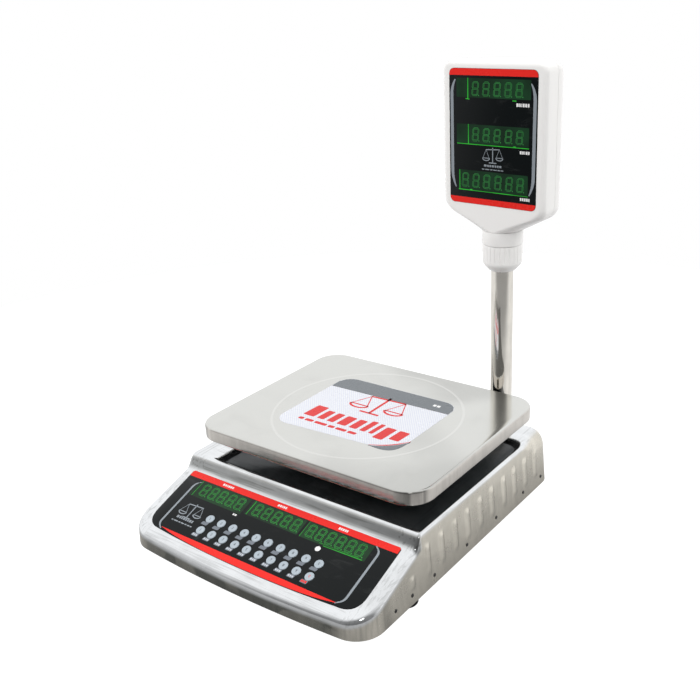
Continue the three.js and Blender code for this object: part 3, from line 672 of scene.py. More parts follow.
@dataclass(frozen=True)
class ShellSteel:
    """Steel of the body: mirror-bright deck, bevel and panel surround over satin walls.

    The polish follows the height over the sloped panel's plane and over the deck's edge. The colour
    carries painted shade on the walls and painted reflections on the top. Spans are distances in
    millimetres over which something fades in or out.

    Attributes:
        tone: Colour of the walls.
        shadow: Colour of dark marks, of the painted shade that stands for what the walls mirror near
            the floor, and of the top's painted reflections.
        bright: Colour of the polished top, a painted highlight: brighter and bluer than the walls.
        satin: Roughness of the walls.
        polish: Roughness of the top.
        slope_depth: Depth under the panel's plane at which the polish starts.
        deck_z: Height at which the deck's polish starts.
        slope_end: Rear end of the sloped part.
        front_y: Rear end of the front wall.
        front_shade: Share of painted shade on the front wall.
        patch_shade: Share of painted shade in its patches, and in those of the other walls.
        corner_x: Where the front corners start beside the middle.
        corner_y: Where they end behind the front.
        draw_and_reflection_shade: Share of shadow in the draw lines, and what the painted reflection
            stripes at the front corners add to it.
        flank_x: Where the streaks turn from across to along.
        streak_shade: Share of shadow in the painted reflection streaks of the top.
        bevel_rise: Front end of the bevel to the deck.
        bevel_fall: Rear end of the bevel.
        bevel_shade: Share of painted shade on the bevel.
        cloud_shade: Share of shadow in the clouds over everything.
        wall_rough: What clouds and marks add to the walls' roughness.
        top_rough: What clouds, marks and lines add to the top's.
        dust: What clouds add to the dust on the deck, and the dust everywhere on it.
        wave: Height of the sheet's waviness.
        brushing: Height of the brush lines.
    """

    name: str = "shell_steel"
    tone: Colour = (0.83, 0.79, 0.70)
    shadow: Colour = (0.16, 0.165, 0.15)
    bright: Colour = (0.90, 0.92, 0.94)
    satin: float = 0.19
    polish: float = 0.03
    slope_depth: Span = (-9.0, -4.0)
    deck_z: Span = (66.5, 71.5)
    slope_end: Span = (-104.0, -99.0)
    front_y: Span = (-178.0, -150.0)
    front_shade: float = 0.76
    patch_shade: Span = (0.20, 0.08)
    corner_x: Span = (118.0, 146.0)
    corner_y: Span = (-176.0, -160.0)
    draw_and_reflection_shade: Span = (0.05, 0.30)
    flank_x: Span = (128.0, 134.0)
    streak_shade: float = 0.20
    bevel_rise: Span = (-113.0, -107.0)
    bevel_fall: Span = (-103.5, -101.0)
    bevel_shade: float = 0.55
    cloud_shade: float = 0.12
    wall_rough: Span = (0.09, 0.06)
    top_rough: Colour = (0.04, 0.03, 0.03)
    dust: Span = (0.015, 0.008)
    wave: float = 0.36
    brushing: float = 0.002
    clouds: Pattern = Pattern(30.0, 4.0, 0.6, 0.6, (0.40, 0.70))
    marks: Pattern = Pattern(95.0, shown=(0.50, 0.80))
    lines: Pattern = Pattern(5.0, 3.0, 0.6, stretch=Grain.ACROSS.value)
    patches: Pattern = Pattern(15.0, 2.0, 0.4, 0.8, (0.50, 0.56), (1.0, 1.0, 1.4))
    # Vertical streaks: faint draw lines everywhere, and painted reflection stripes at the front
    # corners.
    drawn: Pattern = Pattern(130.0, shown=(0.40, 0.62), stretch=(1.0, 1.0, 0.06))
    # Painted reflection: dark streaks on the polished top, running across at the front and back and
    # lengthwise at the sides.
    smears: Pattern = Pattern(330.0, 2.0, 0.5, 0.2, (0.50, 0.68), (0.05, 1.0, 1.0), 1.5)
    side_reflection_streaks: Pattern = Pattern(330.0, 2.0, 0.5, 0.2, (0.50, 0.68), (1.0, 0.05, 1.0))
    waves: Pattern = Pattern(22.0, 2.0, 0.45, 0.15)

    def material(self) -> bpy.types.Material:
        """Roughness is mixed from satin to polish where the surface is near its top; the colour from
        the walls' painted shade to the top's painted reflections.
        """
        graph = Graph(self.name)
        beside = graph.axis("X").math("ABSOLUTE")
        along, height = graph.axis("Y"), graph.axis("Z")
        clouds, marks, lines, patches, drawn, smears, side_reflection_streaks, waves = map(graph.pattern, (
            self.clouds, self.marks, self.lines, self.patches, self.drawn, self.smears,
            self.side_reflection_streaks, self.waves))
        panel = along * math.tan(PANEL_SLOPE) + PANEL_LEVEL
        on_slope = (height - panel).ramp(*self.slope_depth) * along.ramp(*self.slope_end, 1.0, 0.0)
        on_deck = height.ramp(*self.deck_z)
        top = on_slope.math("MAXIMUM", on_deck)

        corner = beside.ramp(*self.corner_x) * along.ramp(*self.corner_y, 1.0, 0.0)
        # Painted shade: the front wall is darkened, with darker patches, for the dark floor in front
        # that it mirrors; the other walls get fainter patches.
        front = along.ramp(*self.front_y, self.front_shade, 0.0)
        front = front + patches * along.ramp(*self.front_y, *self.patch_shade)
        # Painted reflection: the vertical streaks are much darker at the rounded front corners, as
        # stripes of what they mirror; the front's painted shade is kept off the corners.
        everywhere, corner_reflection_share = self.draw_and_reflection_shade
        shade = front * (1.0 - corner) + drawn * (corner * corner_reflection_share + everywhere)
        walls = graph.blend(shade, self.tone, self.shadow)
        # Painted reflection on the polished top: a brighter, bluer colour than the walls, dark
        # streaks, and painted shade on the bevel.
        flank = beside.ramp(*self.flank_x)
        streaks = smears * (1.0 - flank) + side_reflection_streaks * flank
        bevel = along.ramp(*self.bevel_rise) * along.ramp(*self.bevel_fall, self.bevel_shade, 0.0)
        crown = graph.blend(streaks * self.streak_shade + bevel, self.bright, self.shadow)
        colour = graph.blend(clouds * self.cloud_shade, graph.blend(top, walls, crown),
                             self.shadow)

        wall = clouds * self.wall_rough[0] + marks * self.wall_rough[1] + self.satin
        upper = (clouds * self.top_rough[0] + marks * self.top_rough[1]
                 + lines * self.top_rough[2] + self.polish)
        rough = wall * (1.0 - top) + upper * top
        normal = graph.bump(lines, self.brushing, graph.bump(waves, self.wave))
        dust = on_deck * (clouds * self.dust[0] + self.dust[1])
        return graph.finish(Base_Color=colour, Metallic=1.0 - dust, Roughness=rough,
                            Normal=normal)


@dataclass(frozen=True)
class PlatterSteel:
    """Steel of the platter: a fine rolled grain, a pressed ring round its middle with a painted
    highlight along it, and a rim with painted shade.

    Attributes:
        tone: Colour of the flat top.
        side: Colour of the rim, painted darker and warmer than the top as painted shade.
        shadow: Colour of smudges, pools, draw lines and the painted reflection stripes at the rim's
            corners.
        lit: Colour of the painted highlight along the ring.
        roughness: Roughness of the clean metal.
        ring: Radius of the pressed ring.
        ring_width: Half width of its ridge.
        ring_height: Height of its ridge.
        line: Half width of the painted highlight's line, where it is full and where it ends.
        ring_highlight_share: Share of the lit colour in that painted highlight.
        centre: Middle of the platter.
        top_z: Heights between which the rim gives way to the flat top.
        corner_x: Where the corners start across, from the middle.
        corner_y: Where they start along it.
        smudge_shade: Share of shadow in the smudges.
        pool_shade: Share of shadow in the slow pools.
        draw_and_reflection_shade: Share of shadow in the rim's draw lines, and what the painted
            reflection stripes at its corners add to it.
        smudge_rough: How much the smudges roughen it.
        line_rough: How much the grain roughens it.
        wave: Height of the sheet's waviness.
        brushing: Height of the grain.
    """

    name: str = "platter_steel"
    tone: Colour = (0.74, 0.745, 0.72)
    side: Colour = (0.66, 0.63, 0.59)
    shadow: Colour = (0.12, 0.12, 0.115)
    lit: Colour = (0.90, 0.90, 0.88)
    roughness: float = 0.15
    ring: float = 108.0
    ring_width: float = 5.0
    ring_height: float = 0.12
    line: Span = (0.6, 2.2)
    ring_highlight_share: float = 0.35
    centre: Triple = (0.0, 27.8, 0.0)
    top_z: Span = (107.0, 108.6)
    corner_x: Span = (118.0, 140.0)
    corner_y: Span = (93.0, 115.0)
    smudge_shade: float = 0.05
    pool_shade: float = 0.22
    draw_and_reflection_shade: Span = (0.1, 0.6)
    smudge_rough: float = 0.05
    line_rough: float = 0.04
    wave: float = 0.22
    brushing: float = 0.0015
    lines: Pattern = Pattern(6.0, 3.0, 0.6, stretch=Grain.ROLLED.value)
    smudges: Pattern = Pattern(17.0, 4.0, 0.6, 0.5, (0.45, 0.75))
    pools: Pattern = Pattern(5.5, 1.0, 0.4, shown=(0.48, 0.64))
    # Vertical streaks: faint draw lines on the rim, and painted reflection stripes at its corners.
    drawn: Pattern = Pattern(120.0, shown=(0.42, 0.6), stretch=(1.0, 1.0, 0.05))
    waves: Pattern = Pattern(7.0, 1.0, 0.4)

    def material(self) -> bpy.types.Material:
        """The ring is a ridge of the distance from the middle with a painted highlight along it; the
        rest is grain, smudges, darker pools, and the rim's painted shade.
        """
        graph = Graph(self.name)
        place = graph.spot(centre=self.centre)
        flat = graph.node("ShaderNodeVectorMath", {"operation": "MULTIPLY"},
                          {0: place, 1: (1.0, 1.0, 0.0)})["Vector"]
        reach = graph.node("ShaderNodeVectorMath", {"operation": "LENGTH"}, {0: flat})["Value"]
        from_ring = (reach * (1.0 / MM) - self.ring).math("ABSOLUTE")
        on_top = graph.axis("Z").ramp(*self.top_z)
        lines, drawn = graph.pattern(self.lines), graph.pattern(self.drawn)
        smudges, pools, waves = (graph.pattern(pattern, place)
                                 for pattern in (self.smudges, self.pools, self.waves))

        top = graph.blend(smudges * self.smudge_shade + pools * self.pool_shade, self.tone,
                          self.shadow)
        # Painted highlight: a bright line along the pressed ring.
        top = graph.blend(from_ring.ramp(*self.line, self.ring_highlight_share, 0.0), top, self.lit)
        # Painted shade on the rim: a darker colour, with painted reflection stripes at its corners.
        across = graph.axis("X", place).math("ABSOLUTE").ramp(*self.corner_x)
        along = graph.axis("Y", place).math("ABSOLUTE").ramp(*self.corner_y)
        everywhere, corner_reflection_share = self.draw_and_reflection_shade
        side = graph.blend(drawn * (across * along * corner_reflection_share + everywhere), self.side,
                           self.shadow)
        rough = (smudges * self.smudge_rough + lines * self.line_rough
                 + (self.roughness - self.line_rough / 2.0))
        ridge = from_ring.ramp(0.0, self.ring_width, 1.0, 0.0)
        normal = graph.bump(waves, self.wave)
        normal = graph.bump(ridge * on_top, self.ring_height, normal)
        normal = graph.bump(lines, self.brushing, normal)
        return graph.finish(Base_Color=graph.blend(on_top, side, top), Metallic=1.0,
                            Roughness=rough, Normal=normal)


@dataclass(frozen=True)
class Plated:
    """Bright or dull plating on turned and pressed parts."""

    name: str
    tone: Colour
    roughness: float
    speckle: float = 0.05        # what the clouds add to the roughness
    pits: float = 0.004          # depth of the pits
    wave: float = 0.0            # height of long upright waves
    shade: float = 0.92          # tone of the clouds, as a share
    streak_rough: float = 0.03   # what the streaks add to the roughness
    clouds: Pattern = Pattern(40.0, 3.0, 0.6, shown=(0.35, 0.75))
    streaks: Pattern = Pattern(5.0, stretch=(90.0, 90.0, 4.0))
    grains: Pattern = Pattern(420.0)
    waves: Pattern = Pattern(75.0, stretch=(1.0, 1.0, 0.3))

    def material(self) -> bpy.types.Material:
        """Roughness varies with a cloud and fine streaks, and the normal with small pits."""
        graph = Graph(self.name)
        clouds, streaks = graph.pattern(self.clouds), graph.pattern(self.streaks)
        colour = graph.blend(clouds, self.tone, scaled(self.tone, self.shade))
        rough = (clouds * self.speckle + streaks * self.streak_rough
                 + (self.roughness - self.streak_rough / 2.0))
        normal = graph.bump(graph.pattern(self.grains), self.pits)
        if self.wave:
            normal = graph.bump(graph.pattern(self.waves), self.wave, normal)
        return graph.finish(Base_Color=colour, Metallic=1.0, Roughness=rough, Normal=normal)


@dataclass(frozen=True)
class Moulded:
    """Moulded plastic, paint or rubber: a soft colour cloud over a fine skin texture."""

    name: str
    tone: Colour
    roughness: float
    texture: float = 0.01        # height of the skin texture
    texture_size: float = 900.0  # its grains in a metre
    mottle: float = 0.05         # how much the colour varies
    gloss: float = 0.5           # specular level
    sink: float = 0.0            # height of slow moulding waves
    smear_rough: float = 0.12    # what the smears add to the roughness
    clouds: Pattern = Pattern(18.0, 3.0, 0.55)
    smears: Pattern = Pattern(70.0, 3.0, 0.6, 0.3)
    waves: Pattern = Pattern(16.0, 1.0, 0.4)

    def material(self) -> bpy.types.Material:
        """Colour from a slow cloud, roughness from a faster one, normal from the skin texture."""
        graph = Graph(self.name)
        colour = graph.blend(graph.pattern(self.clouds), self.tone,
                             scaled(self.tone, 1.0 - self.mottle))
        rough = (graph.pattern(self.smears) * self.smear_rough
                 + (self.roughness - self.smear_rough / 2.0))
        normal = graph.bump(graph.pattern(Pattern(self.texture_size)), self.texture)
        if self.sink:
            normal = graph.bump(graph.pattern(self.waves), self.sink, normal)
        return graph.finish(Base_Color=colour, Roughness=rough, Normal=normal,
                            Specular_IOR_Level=self.gloss)


@dataclass(frozen=True)
class Film:
    """Glossy printed film with wipe marks and a slightly wavy face."""

    name: str
    tone: Colour
    roughness: float = 0.10
    gloss: float = 0.22
    wave: float = 0.03
    haze: float = 0.014          # grey of the wipe marks
    wipe_rough: float = 0.14     # what the wipe marks add to the roughness
    dust_rough: float = 0.2      # and what specks of dust add to it
    wipes: Pattern = Pattern(34.0, 4.0, 0.62, 0.7, (0.56, 0.78), (1.0, 2.6, 2.6), 24.0)
    dust: Pattern = Pattern(700.0, 1.0, shown=(0.74, 0.80))
    waves: Pattern = Pattern(30.0)

    def material(self) -> bpy.types.Material:
        """Streaky wipe marks lift the colour and the roughness a little; long waves bend the
        reflection."""
        graph = Graph(self.name)
        wipes, dust = graph.pattern(self.wipes), graph.pattern(self.dust)
        colour = graph.blend(wipes, self.tone, tuple(c + self.haze for c in self.tone))
        rough = wipes * self.wipe_rough + dust * self.dust_rough + self.roughness
        normal = graph.bump(graph.pattern(self.waves), self.wave)
        return graph.finish(Base_Color=colour, Roughness=rough, Normal=normal,
                            Specular_IOR_Level=self.gloss)


@dataclass(frozen=True)
class Ink:
    """Printing ink: an even colour with a screen's fine unevenness."""

    name: str
    tone: Colour
    roughness: float = 0.28
    gloss: float = 0.3
    shade: float = 0.92          # tone of the clouds, as a share
    cloud_rough: float = 0.1     # what the clouds add to the roughness
    weave: float = 0.003         # height of the screen texture
    clouds: Pattern = Pattern(60.0, 3.0, 0.6)
    screen: Pattern = Pattern(1500.0, 1.0)

    def material(self) -> bpy.types.Material:
        """Small differences of tone and roughness over a faint screen texture."""
        graph = Graph(self.name)
        clouds = graph.pattern(self.clouds)
        rough = clouds * self.cloud_rough + (self.roughness - self.cloud_rough / 2.0)
        return graph.finish(
            Base_Color=graph.blend(clouds, self.tone, scaled(self.tone, self.shade)),
            Roughness=rough, Normal=graph.bump(graph.pattern(self.screen), self.weave),
            Specular_IOR_Level=self.gloss)


@dataclass(frozen=True)
class Glow:
    """Light of a segment display through its dark window."""

    name: str
    tone: Colour
    light: Colour
    patches: float = 40.0        # patches in a metre
    floor: float = 0.35          # share of the light in the darkest places
    roughness: float = 0.10
    cloud_rough: float = 0.06    # what the patches add to the roughness
    gloss: float = 0.3

    def material(self) -> bpy.types.Material:
        """The emitted colour is the light scaled between its floor and full by slow noise."""
        graph = Graph(self.name)
        clouds = graph.pattern(Pattern(self.patches, shown=(0.3, 0.7)))
        return graph.finish(
            Base_Color=self.tone, Roughness=clouds * self.cloud_rough + self.roughness,
            Emission_Color=graph.blend(clouds, scaled(self.light, self.floor), self.light),
            Emission_Strength=1.0, Specular_IOR_Level=self.gloss)


@dataclass(frozen=True)
class LabelPaper:
    """Printed vinyl label: a pale ground with fine slanted hatching.

    Attributes:
        ground: Colour of the ground.
        hatch: Colour of the hatching.
        pitch: Distance between hatch lines.
        slant: Turn of the hatch lines in degrees.
        line: Share of the pitch at which a line starts to fade, and at which it has faded.
        shade: Tone of the clouds on the ground, as a share.
        dent: Height of the sheet's waviness.
    """

    name: str = "label_vinyl"
    ground: Colour = (0.69, 0.705, 0.735)
    hatch: Colour = (0.58, 0.60, 0.68)
    pitch: float = 2.4
    slant: float = -38.0
    line: Span = (0.16, 0.30)
    shade: float = 0.95
    roughness: float = 0.22
    cloud_rough: float = 0.1
    dent: float = 0.02
    gloss: float = 0.4
    clouds: Pattern = Pattern(30.0, 3.0, 0.55)
    waves: Pattern = Pattern(60.0)

    def material(self) -> bpy.types.Material:
        """The hatch is a triangle wave of the distance across the slanted lines."""
        graph = Graph(self.name)
        phase = graph.axis("X", graph.spot(turn=self.slant)) * (1.0 / self.pitch)
        clouds = graph.pattern(self.clouds)
        ground = graph.blend(clouds, self.ground, scaled(self.ground, self.shade))
        colour = graph.blend(phase.math("PINGPONG", 0.5).ramp(*self.line), self.hatch, ground)
        return graph.finish(Base_Color=colour, Roughness=clouds * self.cloud_rough + self.roughness,
                            Normal=graph.bump(graph.pattern(self.waves), self.dent),
                            Specular_IOR_Level=self.gloss)


@dataclass(frozen=True)
class CircuitBoard:
    """Green circuit board with tracks and pads."""

    name: str = "circuit_board"
    mask: Colour = (0.012, 0.10, 0.035)
    copper: Colour = (0.03, 0.19, 0.07)
    cells: float = 130.0         # cells between the tracks in a metre
    track: Span = (0.03, 0.08)   # half width of a track, where it is full and where it ends
    proud: float = 0.03
    roughness: float = 0.35
    track_rough: float = 0.1

    def material(self) -> bpy.types.Material:
        """Tracks are the edges of cells; they stand a little proud."""
        graph = Graph(self.name)
        edges = graph.node("ShaderNodeTexVoronoi",
                           {"feature": "DISTANCE_TO_EDGE", "distance": "EUCLIDEAN"},
                           {"Vector": graph.spot(), "Scale": self.cells})["Distance"]
        tracks = edges.ramp(*self.track, 1.0, 0.0)
        return graph.finish(Base_Color=graph.blend(tracks, self.mask, self.copper),
                            Roughness=tracks * self.track_rough + self.roughness,
                            Normal=graph.bump(tracks, self.proud))


FINISHES = {
    "shell": ShellSteel(),
    "platter": PlatterSteel(),
    "bracket": SheetSteel("bracket_steel", (0.74, 0.73, 0.70), 0.3, Grain.UPRIGHT),
    "chrome": Plated("pole_chrome", (0.83, 0.80, 0.74), 0.08, 0.03, 0.002, 0.30),
    "zinc": Plated("zinc_plate", (0.58, 0.60, 0.60), 0.38, 0.14, 0.012),
    "dark_screw": Plated("dark_screw", (0.10, 0.10, 0.10), 0.4, 0.1, 0.01),
    "aluminium": Plated("cell_aluminium", (0.74, 0.75, 0.76), 0.34, 0.08, 0.008),
    "iron": Plated("core_iron", (0.42, 0.38, 0.33), 0.5, 0.15, 0.02),
    "spider": Moulded("spider_paint", (0.040, 0.048, 0.050), 0.34, 0.012, 700.0, 0.3, 0.35),
    "black": Moulded("black_plastic", (0.012, 0.012, 0.013), 0.42, 0.02, 800.0, 0.2, 0.4),
    "rubber": Moulded("foot_rubber", (0.010, 0.010, 0.010), 0.75, 0.05, 500.0, 0.25, 0.3),
    "white": Moulded("white_plastic", (0.88, 0.87, 0.855), 0.22, 0.002, 1200.0, 0.02, 0.5, 0.05),
    "battery": Moulded("battery_case", (0.03, 0.032, 0.036), 0.5, 0.03, 600.0, 0.2, 0.4),
    "key_rim": Moulded("key_rim", (0.40, 0.46, 0.51), 0.3, 0.004, 900.0, 0.08),
    "key_face": Moulded("key_face", (0.27, 0.32, 0.37), 0.34, 0.004, 900.0, 0.1),
    "film": Film("panel_film", (0.002, 0.0035, 0.004)),
    "red": Ink("red_ink", (0.80, 0.018, 0.012)),
    "label_red": Ink("label_red_ink", (0.62, 0.02, 0.02)),
    "white_ink": Ink("white_ink", (0.82, 0.82, 0.82)),
    "grey_ink": Ink("grey_ink", (0.26, 0.29, 0.32), 0.3, 0.5),
    "tag_ink": Ink("tag_ink", (0.17, 0.19, 0.22)),
    "pale_tag_ink": Ink("pale_tag_ink", (0.52, 0.55, 0.60)),
    "label_grey": Ink("label_grey_ink", (0.15, 0.165, 0.18)),
    "label_dark": Ink("label_dark_ink", (0.08, 0.08, 0.085)),
    "key_mark": Ink("key_mark_ink", (0.03, 0.035, 0.045)),
    "label": LabelPaper(),
    "window": Glow("window_glow", (0.002, 0.010, 0.004), (0.003, 0.034, 0.007)),
    "window_dim": Glow("head_window_glow", (0.002, 0.008, 0.004), (0.003, 0.028, 0.008)),
    "segment": Glow("segment_edge", (0.004, 0.05, 0.008), (0.03, 0.30, 0.04), 90.0, 0.8),
    "segment_dim": Glow("head_segment_edge", (0.004, 0.03, 0.008), (0.03, 0.20, 0.045), 90.0, 0.8),
    "heart": Glow("segment_heart", (0.001, 0.008, 0.003), (0.004, 0.035, 0.008), 90.0, 0.6),
    "edge_light": Glow("edge_light", (0.004, 0.10, 0.01), (0.03, 0.42, 0.03), 30.0),
    "board": CircuitBoard(),
}


class Wardrobe:
    """Every finish of the scale, made once and kept as an attribute of its own name."""

    def __init__(self) -> None:
        """Makes the materials."""
        for name, finish in FINISHES.items():
            setattr(self, name, finish.material())


# ---- The sloped panel's frame and the shell ----

PANEL_FRAME = Placing((0.0, *PANEL_AT), (1.0, 0.0, 0.0), (0.0, PANEL_COSINE, PANEL_SINE),
                      (0.0, -PANEL_SINE, PANEL_COSINE))


BEYOND = 30.0                    # how far the top's profile runs past the shell's ends


@dataclass
class BodyShell:
    """Pressed steel body with a bowed front, ribbed sides, a sloped panel and a flat deck."""

    half_width: float = 159.5
    top_half_width: float = 154.5
    front: float = -206.5
    rear: float = 168.0
    bottom: float = 9.0
    deck: float = 73.0
    deck_front: float = -100.5
    bow: float = 1700.0
    front_corner: float = 30.0
    rear_corner: float = 19.5
    sheet: float = 1.2
    ledge: float = 4.0
    edge_front: float = 4.5
    edge_panel: float = 6.0
    edge_deck: float = 3.0
    edge_rear: float = 19.0
    edge_front_y: Span = (-197.0, -180.0)   # where each edge radius gives way to the next
    edge_panel_y: Span = (-114.0, -101.0)
    edge_rear_y: Span = (96.0, 146.0)
    ledge_round: float = 3.0
    deck_round: float = 4.5
    ribs: tuple[float, ...] = (-121.0, -92.3, -67.2, -41.8, -17.5, 8.5, 32.5, 58.9, 82.5,
                               107.2, 131.0)
    rib_crown: float = 2.0
    rib_half_width: float = 5.0
    rib_span: Span = (21.5, 59.0)
    rib_fade: Span = (8.0, 5.5)             # lengths of the ribs' lower and upper ends
    short_rib_top: float = 39.5
    rib_proud: float = 1.34
    screws: tuple[float, ...] = (-150.8, -123.0, -84.0, -22.1, 39.0, 100.7, 143.3)
    screw_height: float = 18.7
    screw_sunk: float = 0.25                # how far a screw's seat is under the wall's face
    riser: tuple[Span, Span] = ((29.0, 67.0), (8.8, 46.8))         # hole in the deck: x, y
    inlet: tuple[Span, Span] = ((-117.3, -74.7), (24.7, 47.3))     # rear openings: x, z
    switch: tuple[Span, Span] = ((-46.3, -29.7), (30.7, 41.3))
    wall_rows: int = 34
    edge_rows: int = 8
    half_columns: int = 18

    def height(self, y: Array) -> Array:
        """Top of the shell over y: the panel's slope, a ledge, a steep bevel and the deck, with
        each corner rounded."""
        low_end, high_end = self.front - BEYOND, self.rear + BEYOND
        slope = math.tan(PANEL_SLOPE)
        ledge_y = PANEL_AT[0] + self.ledge * PANEL_COSINE
        corners = np.array([[low_end, PANEL_LEVEL + low_end * slope],
                            [ledge_y, PANEL_LEVEL + ledge_y * slope],
                            [self.deck_front, self.deck], [high_end, self.deck]])
        cuts = np.array([0.0, self.ledge_round, self.deck_round, 0.0])
        line = softened(corners, cuts, 9, closed=False)
        return np.interp(y, line[:, 0], line[:, 1])

    def outline(self) -> tuple[Array, Array]:
        """Right half of the plan from the front's middle to the rear's middle.

        The bowed front is an arc, each corner an arc that touches it and the side.

        Returns:
            Points and outward normals, one row each.
        """
        centre = self.front + self.bow
        corner_x = self.half_width - self.front_corner
        reach = self.bow - self.front_corner
        corner_y = centre - math.sqrt(reach ** 2 - corner_x ** 2)
        tilt = math.atan2(corner_x, centre - corner_y)
        bow = np.linspace(0.0, tilt, 26)
        turn = np.linspace(tilt, math.pi / 2.0, 11)[1:]
        front = np.stack([self.bow * np.sin(bow), centre - self.bow * np.cos(bow)], -1)
        corner = np.stack([corner_x + self.front_corner * np.sin(turn),
                           corner_y - self.front_corner * np.cos(turn)], -1)
        rear_y = self.rear - self.rear_corner
        stations = np.concatenate([
            np.linspace(corner_y, -114.0, 34)[1:], np.linspace(-113.0, -95.0, 19),
            np.linspace(-93.5, rear_y, 199)])
        side = np.stack([np.full_like(stations, self.half_width), stations], -1)
        turn_rear = np.linspace(0.0, math.pi / 2.0, 12)[1:]
        rear_corner = np.stack([
            self.half_width - self.rear_corner * (1.0 - np.cos(turn_rear)),
            rear_y + self.rear_corner * np.sin(turn_rear)], -1)
        last = rear_corner[-1, 0]
        back = np.linspace(last, 0.0, self.half_columns + 1)[1:]
        rear = np.stack([back, np.full_like(back, self.rear)], -1)
        points = np.concatenate([front, corner, side, rear_corner, rear])
        angles = np.concatenate([bow, turn, np.full(len(side), math.pi / 2.0),
                                 math.pi / 2.0 + turn_rear, np.full(len(rear), math.pi)])
        return points, np.stack([np.sin(angles), -np.cos(angles)], -1)

    def edge(self, points: Array) -> Array:
        """Radius of the rolled upper edge: small at the deck, larger at the panel and rear."""
        y = points[:, 1]
        panel = self.edge_deck + (self.edge_panel - self.edge_deck) * (
            1.0 - smooth_step(y, *self.edge_panel_y))
        front = smooth_step(y, *self.edge_front_y)
        panel = self.edge_front + (panel - self.edge_front) * front
        return panel + (self.edge_rear - self.edge_deck) * smooth_step(y, *self.edge_rear_y)

    def ribbing(self, y: Array, z: Array) -> Array:
        """Height of the ribs on a side wall: a narrow crown between two steep flanks, faded in
        and out near its ends."""
        centres = np.array(self.ribs)
        tops = np.full(len(centres), self.rib_span[1])
        tops[0] = self.short_rib_top
        across = 1.0 - smooth_step(np.abs(y[..., None] - centres), self.rib_crown,
                                   self.rib_half_width)
        low = smooth_step(z, self.rib_span[0], self.rib_span[0] + self.rib_fade[0])[..., None]
        high = 1.0 - smooth_step(z[..., None] - tops, -self.rib_fade[1], 0.0)
        return (across * low * high).sum(-1) * self.rib_proud

    def drafted(self, x: Array, z: Array) -> Array:
        """Side to side distance scaled down with height, so that the walls lean inwards."""
        lean = (1.0 - self.top_half_width / self.half_width) / (self.deck - self.bottom)
        return x * (1.0 - lean * (z - self.bottom))

    def surface(self) -> Surface:
        """Walls and rolled edge as rings of the plan, and the top as rows from side to side.

        A wall's row v is at height bottom + v (top - edge - bottom). On the rolled edge the plan
        shrinks by r (1 - cos t) while the height is H(y) - r (1 - sin t).
        """
        points, normals = self.outline()
        radius = self.edge(points)
        share = np.linspace(0.0, 1.0, self.wall_rows)[:, None]
        side = (np.abs(normals[:, 0]) > 0.999)[None]
        top = self.height(points[:, 1]) - radius
        z_wall = self.bottom + share * (top[None] - self.bottom)
        proud = self.ribbing(np.broadcast_to(points[:, 1], z_wall.shape), z_wall) * side
        x_wall = self.drafted(np.broadcast_to(points[:, 0], z_wall.shape), z_wall)
        wall = np.stack([x_wall + proud, np.broadcast_to(points[:, 1], z_wall.shape), z_wall], -1)
        turn = np.linspace(0.0, math.pi / 2.0, self.edge_rows + 1)[1:, None]
        inset = radius[None] * (1.0 - np.cos(turn))
        plan = points[None] - normals[None] * inset[..., None]
        z_edge = self.height(plan[..., 1]) - radius[None] * (1.0 - np.sin(turn))
        rolled = np.stack([self.drafted(plan[..., 0], z_edge), plan[..., 1], z_edge], -1)
        half = np.concatenate([wall, rolled])
        mirrored = half[:, -2:0:-1] * np.array([-1.0, 1.0, 1.0])
        rings = np.concatenate([half, mirrored], 1)
        walls = skin(rings, closed_ends=False)
        return self.with_top(walls, rings.shape[1], len(points))

    def with_top(self, walls: Surface, around: int, half: int) -> Surface:
        """Adds the top: rows of points between each pair of mirrored ring points.

        Args:
            walls: Walls and rolled edge.
            around: Points in one ring.
            half: Points of the half outline.

        Returns:
            The whole outer skin, open at the bottom.
        """
        start = len(walls.points) - around
        ring = np.arange(start, start + around)
        columns = self.half_columns
        last = half - 1 - columns
        rows = np.arange(1, last)
        share = np.linspace(1.0, -1.0, 2 * columns + 1)[1:-1]
        edge = walls.points[ring[rows]]
        x = edge[:, :1] * share[None]
        y = np.broadcast_to(edge[:, 1:2], x.shape)
        z = np.broadcast_to(self.height(edge[:, 1])[:, None], x.shape)
        inner = np.stack([x, y, z], -1).reshape(-1, 3)
        numbers = len(walls.points) + np.arange(len(inner)).reshape(len(rows), -1)
        body = np.concatenate([ring[rows, None], numbers, ring[around - rows, None]], 1)
        closing = ring[np.arange(last, around - last + 1)][None]
        grid = np.concatenate([body, closing])
        quads = np.stack([grid[:-1, :-1], grid[1:, :-1], grid[1:, 1:], grid[:-1, 1:]], -1)
        tip = np.stack([np.full(grid.shape[1] - 1, ring[0]), grid[0, :-1], grid[0, 1:]], -1)
        faces = walls.faces + quads.reshape(-1, 4).tolist() + tip.tolist()
        return Surface(np.concatenate([walls.points, inner]), faces)

    def openings(self, windows: Sequence[tuple[Span, Span]], keys: tuple[Span, Span]) -> Surface:
        """Solids to take out: panel windows, the keypad, the riser's hole and rear openings."""
        through = [box_between((x[0], -s[1], -8.0), (x[1], -s[0], 3.0)).placed(PANEL_FRAME)
                   for x, s in (*windows, keys)]
        hole = plates(rounded_rectangle(*self.riser, 6.0), self.deck - 6.0, self.deck + 6.0)
        back = [box_between((x[0], self.rear - 8.0, z[0]), (x[1], self.rear + 6.0, z[1]))
                for x, z in (self.inlet, self.switch)]
        return Surface.joined([*through, hole, *back])

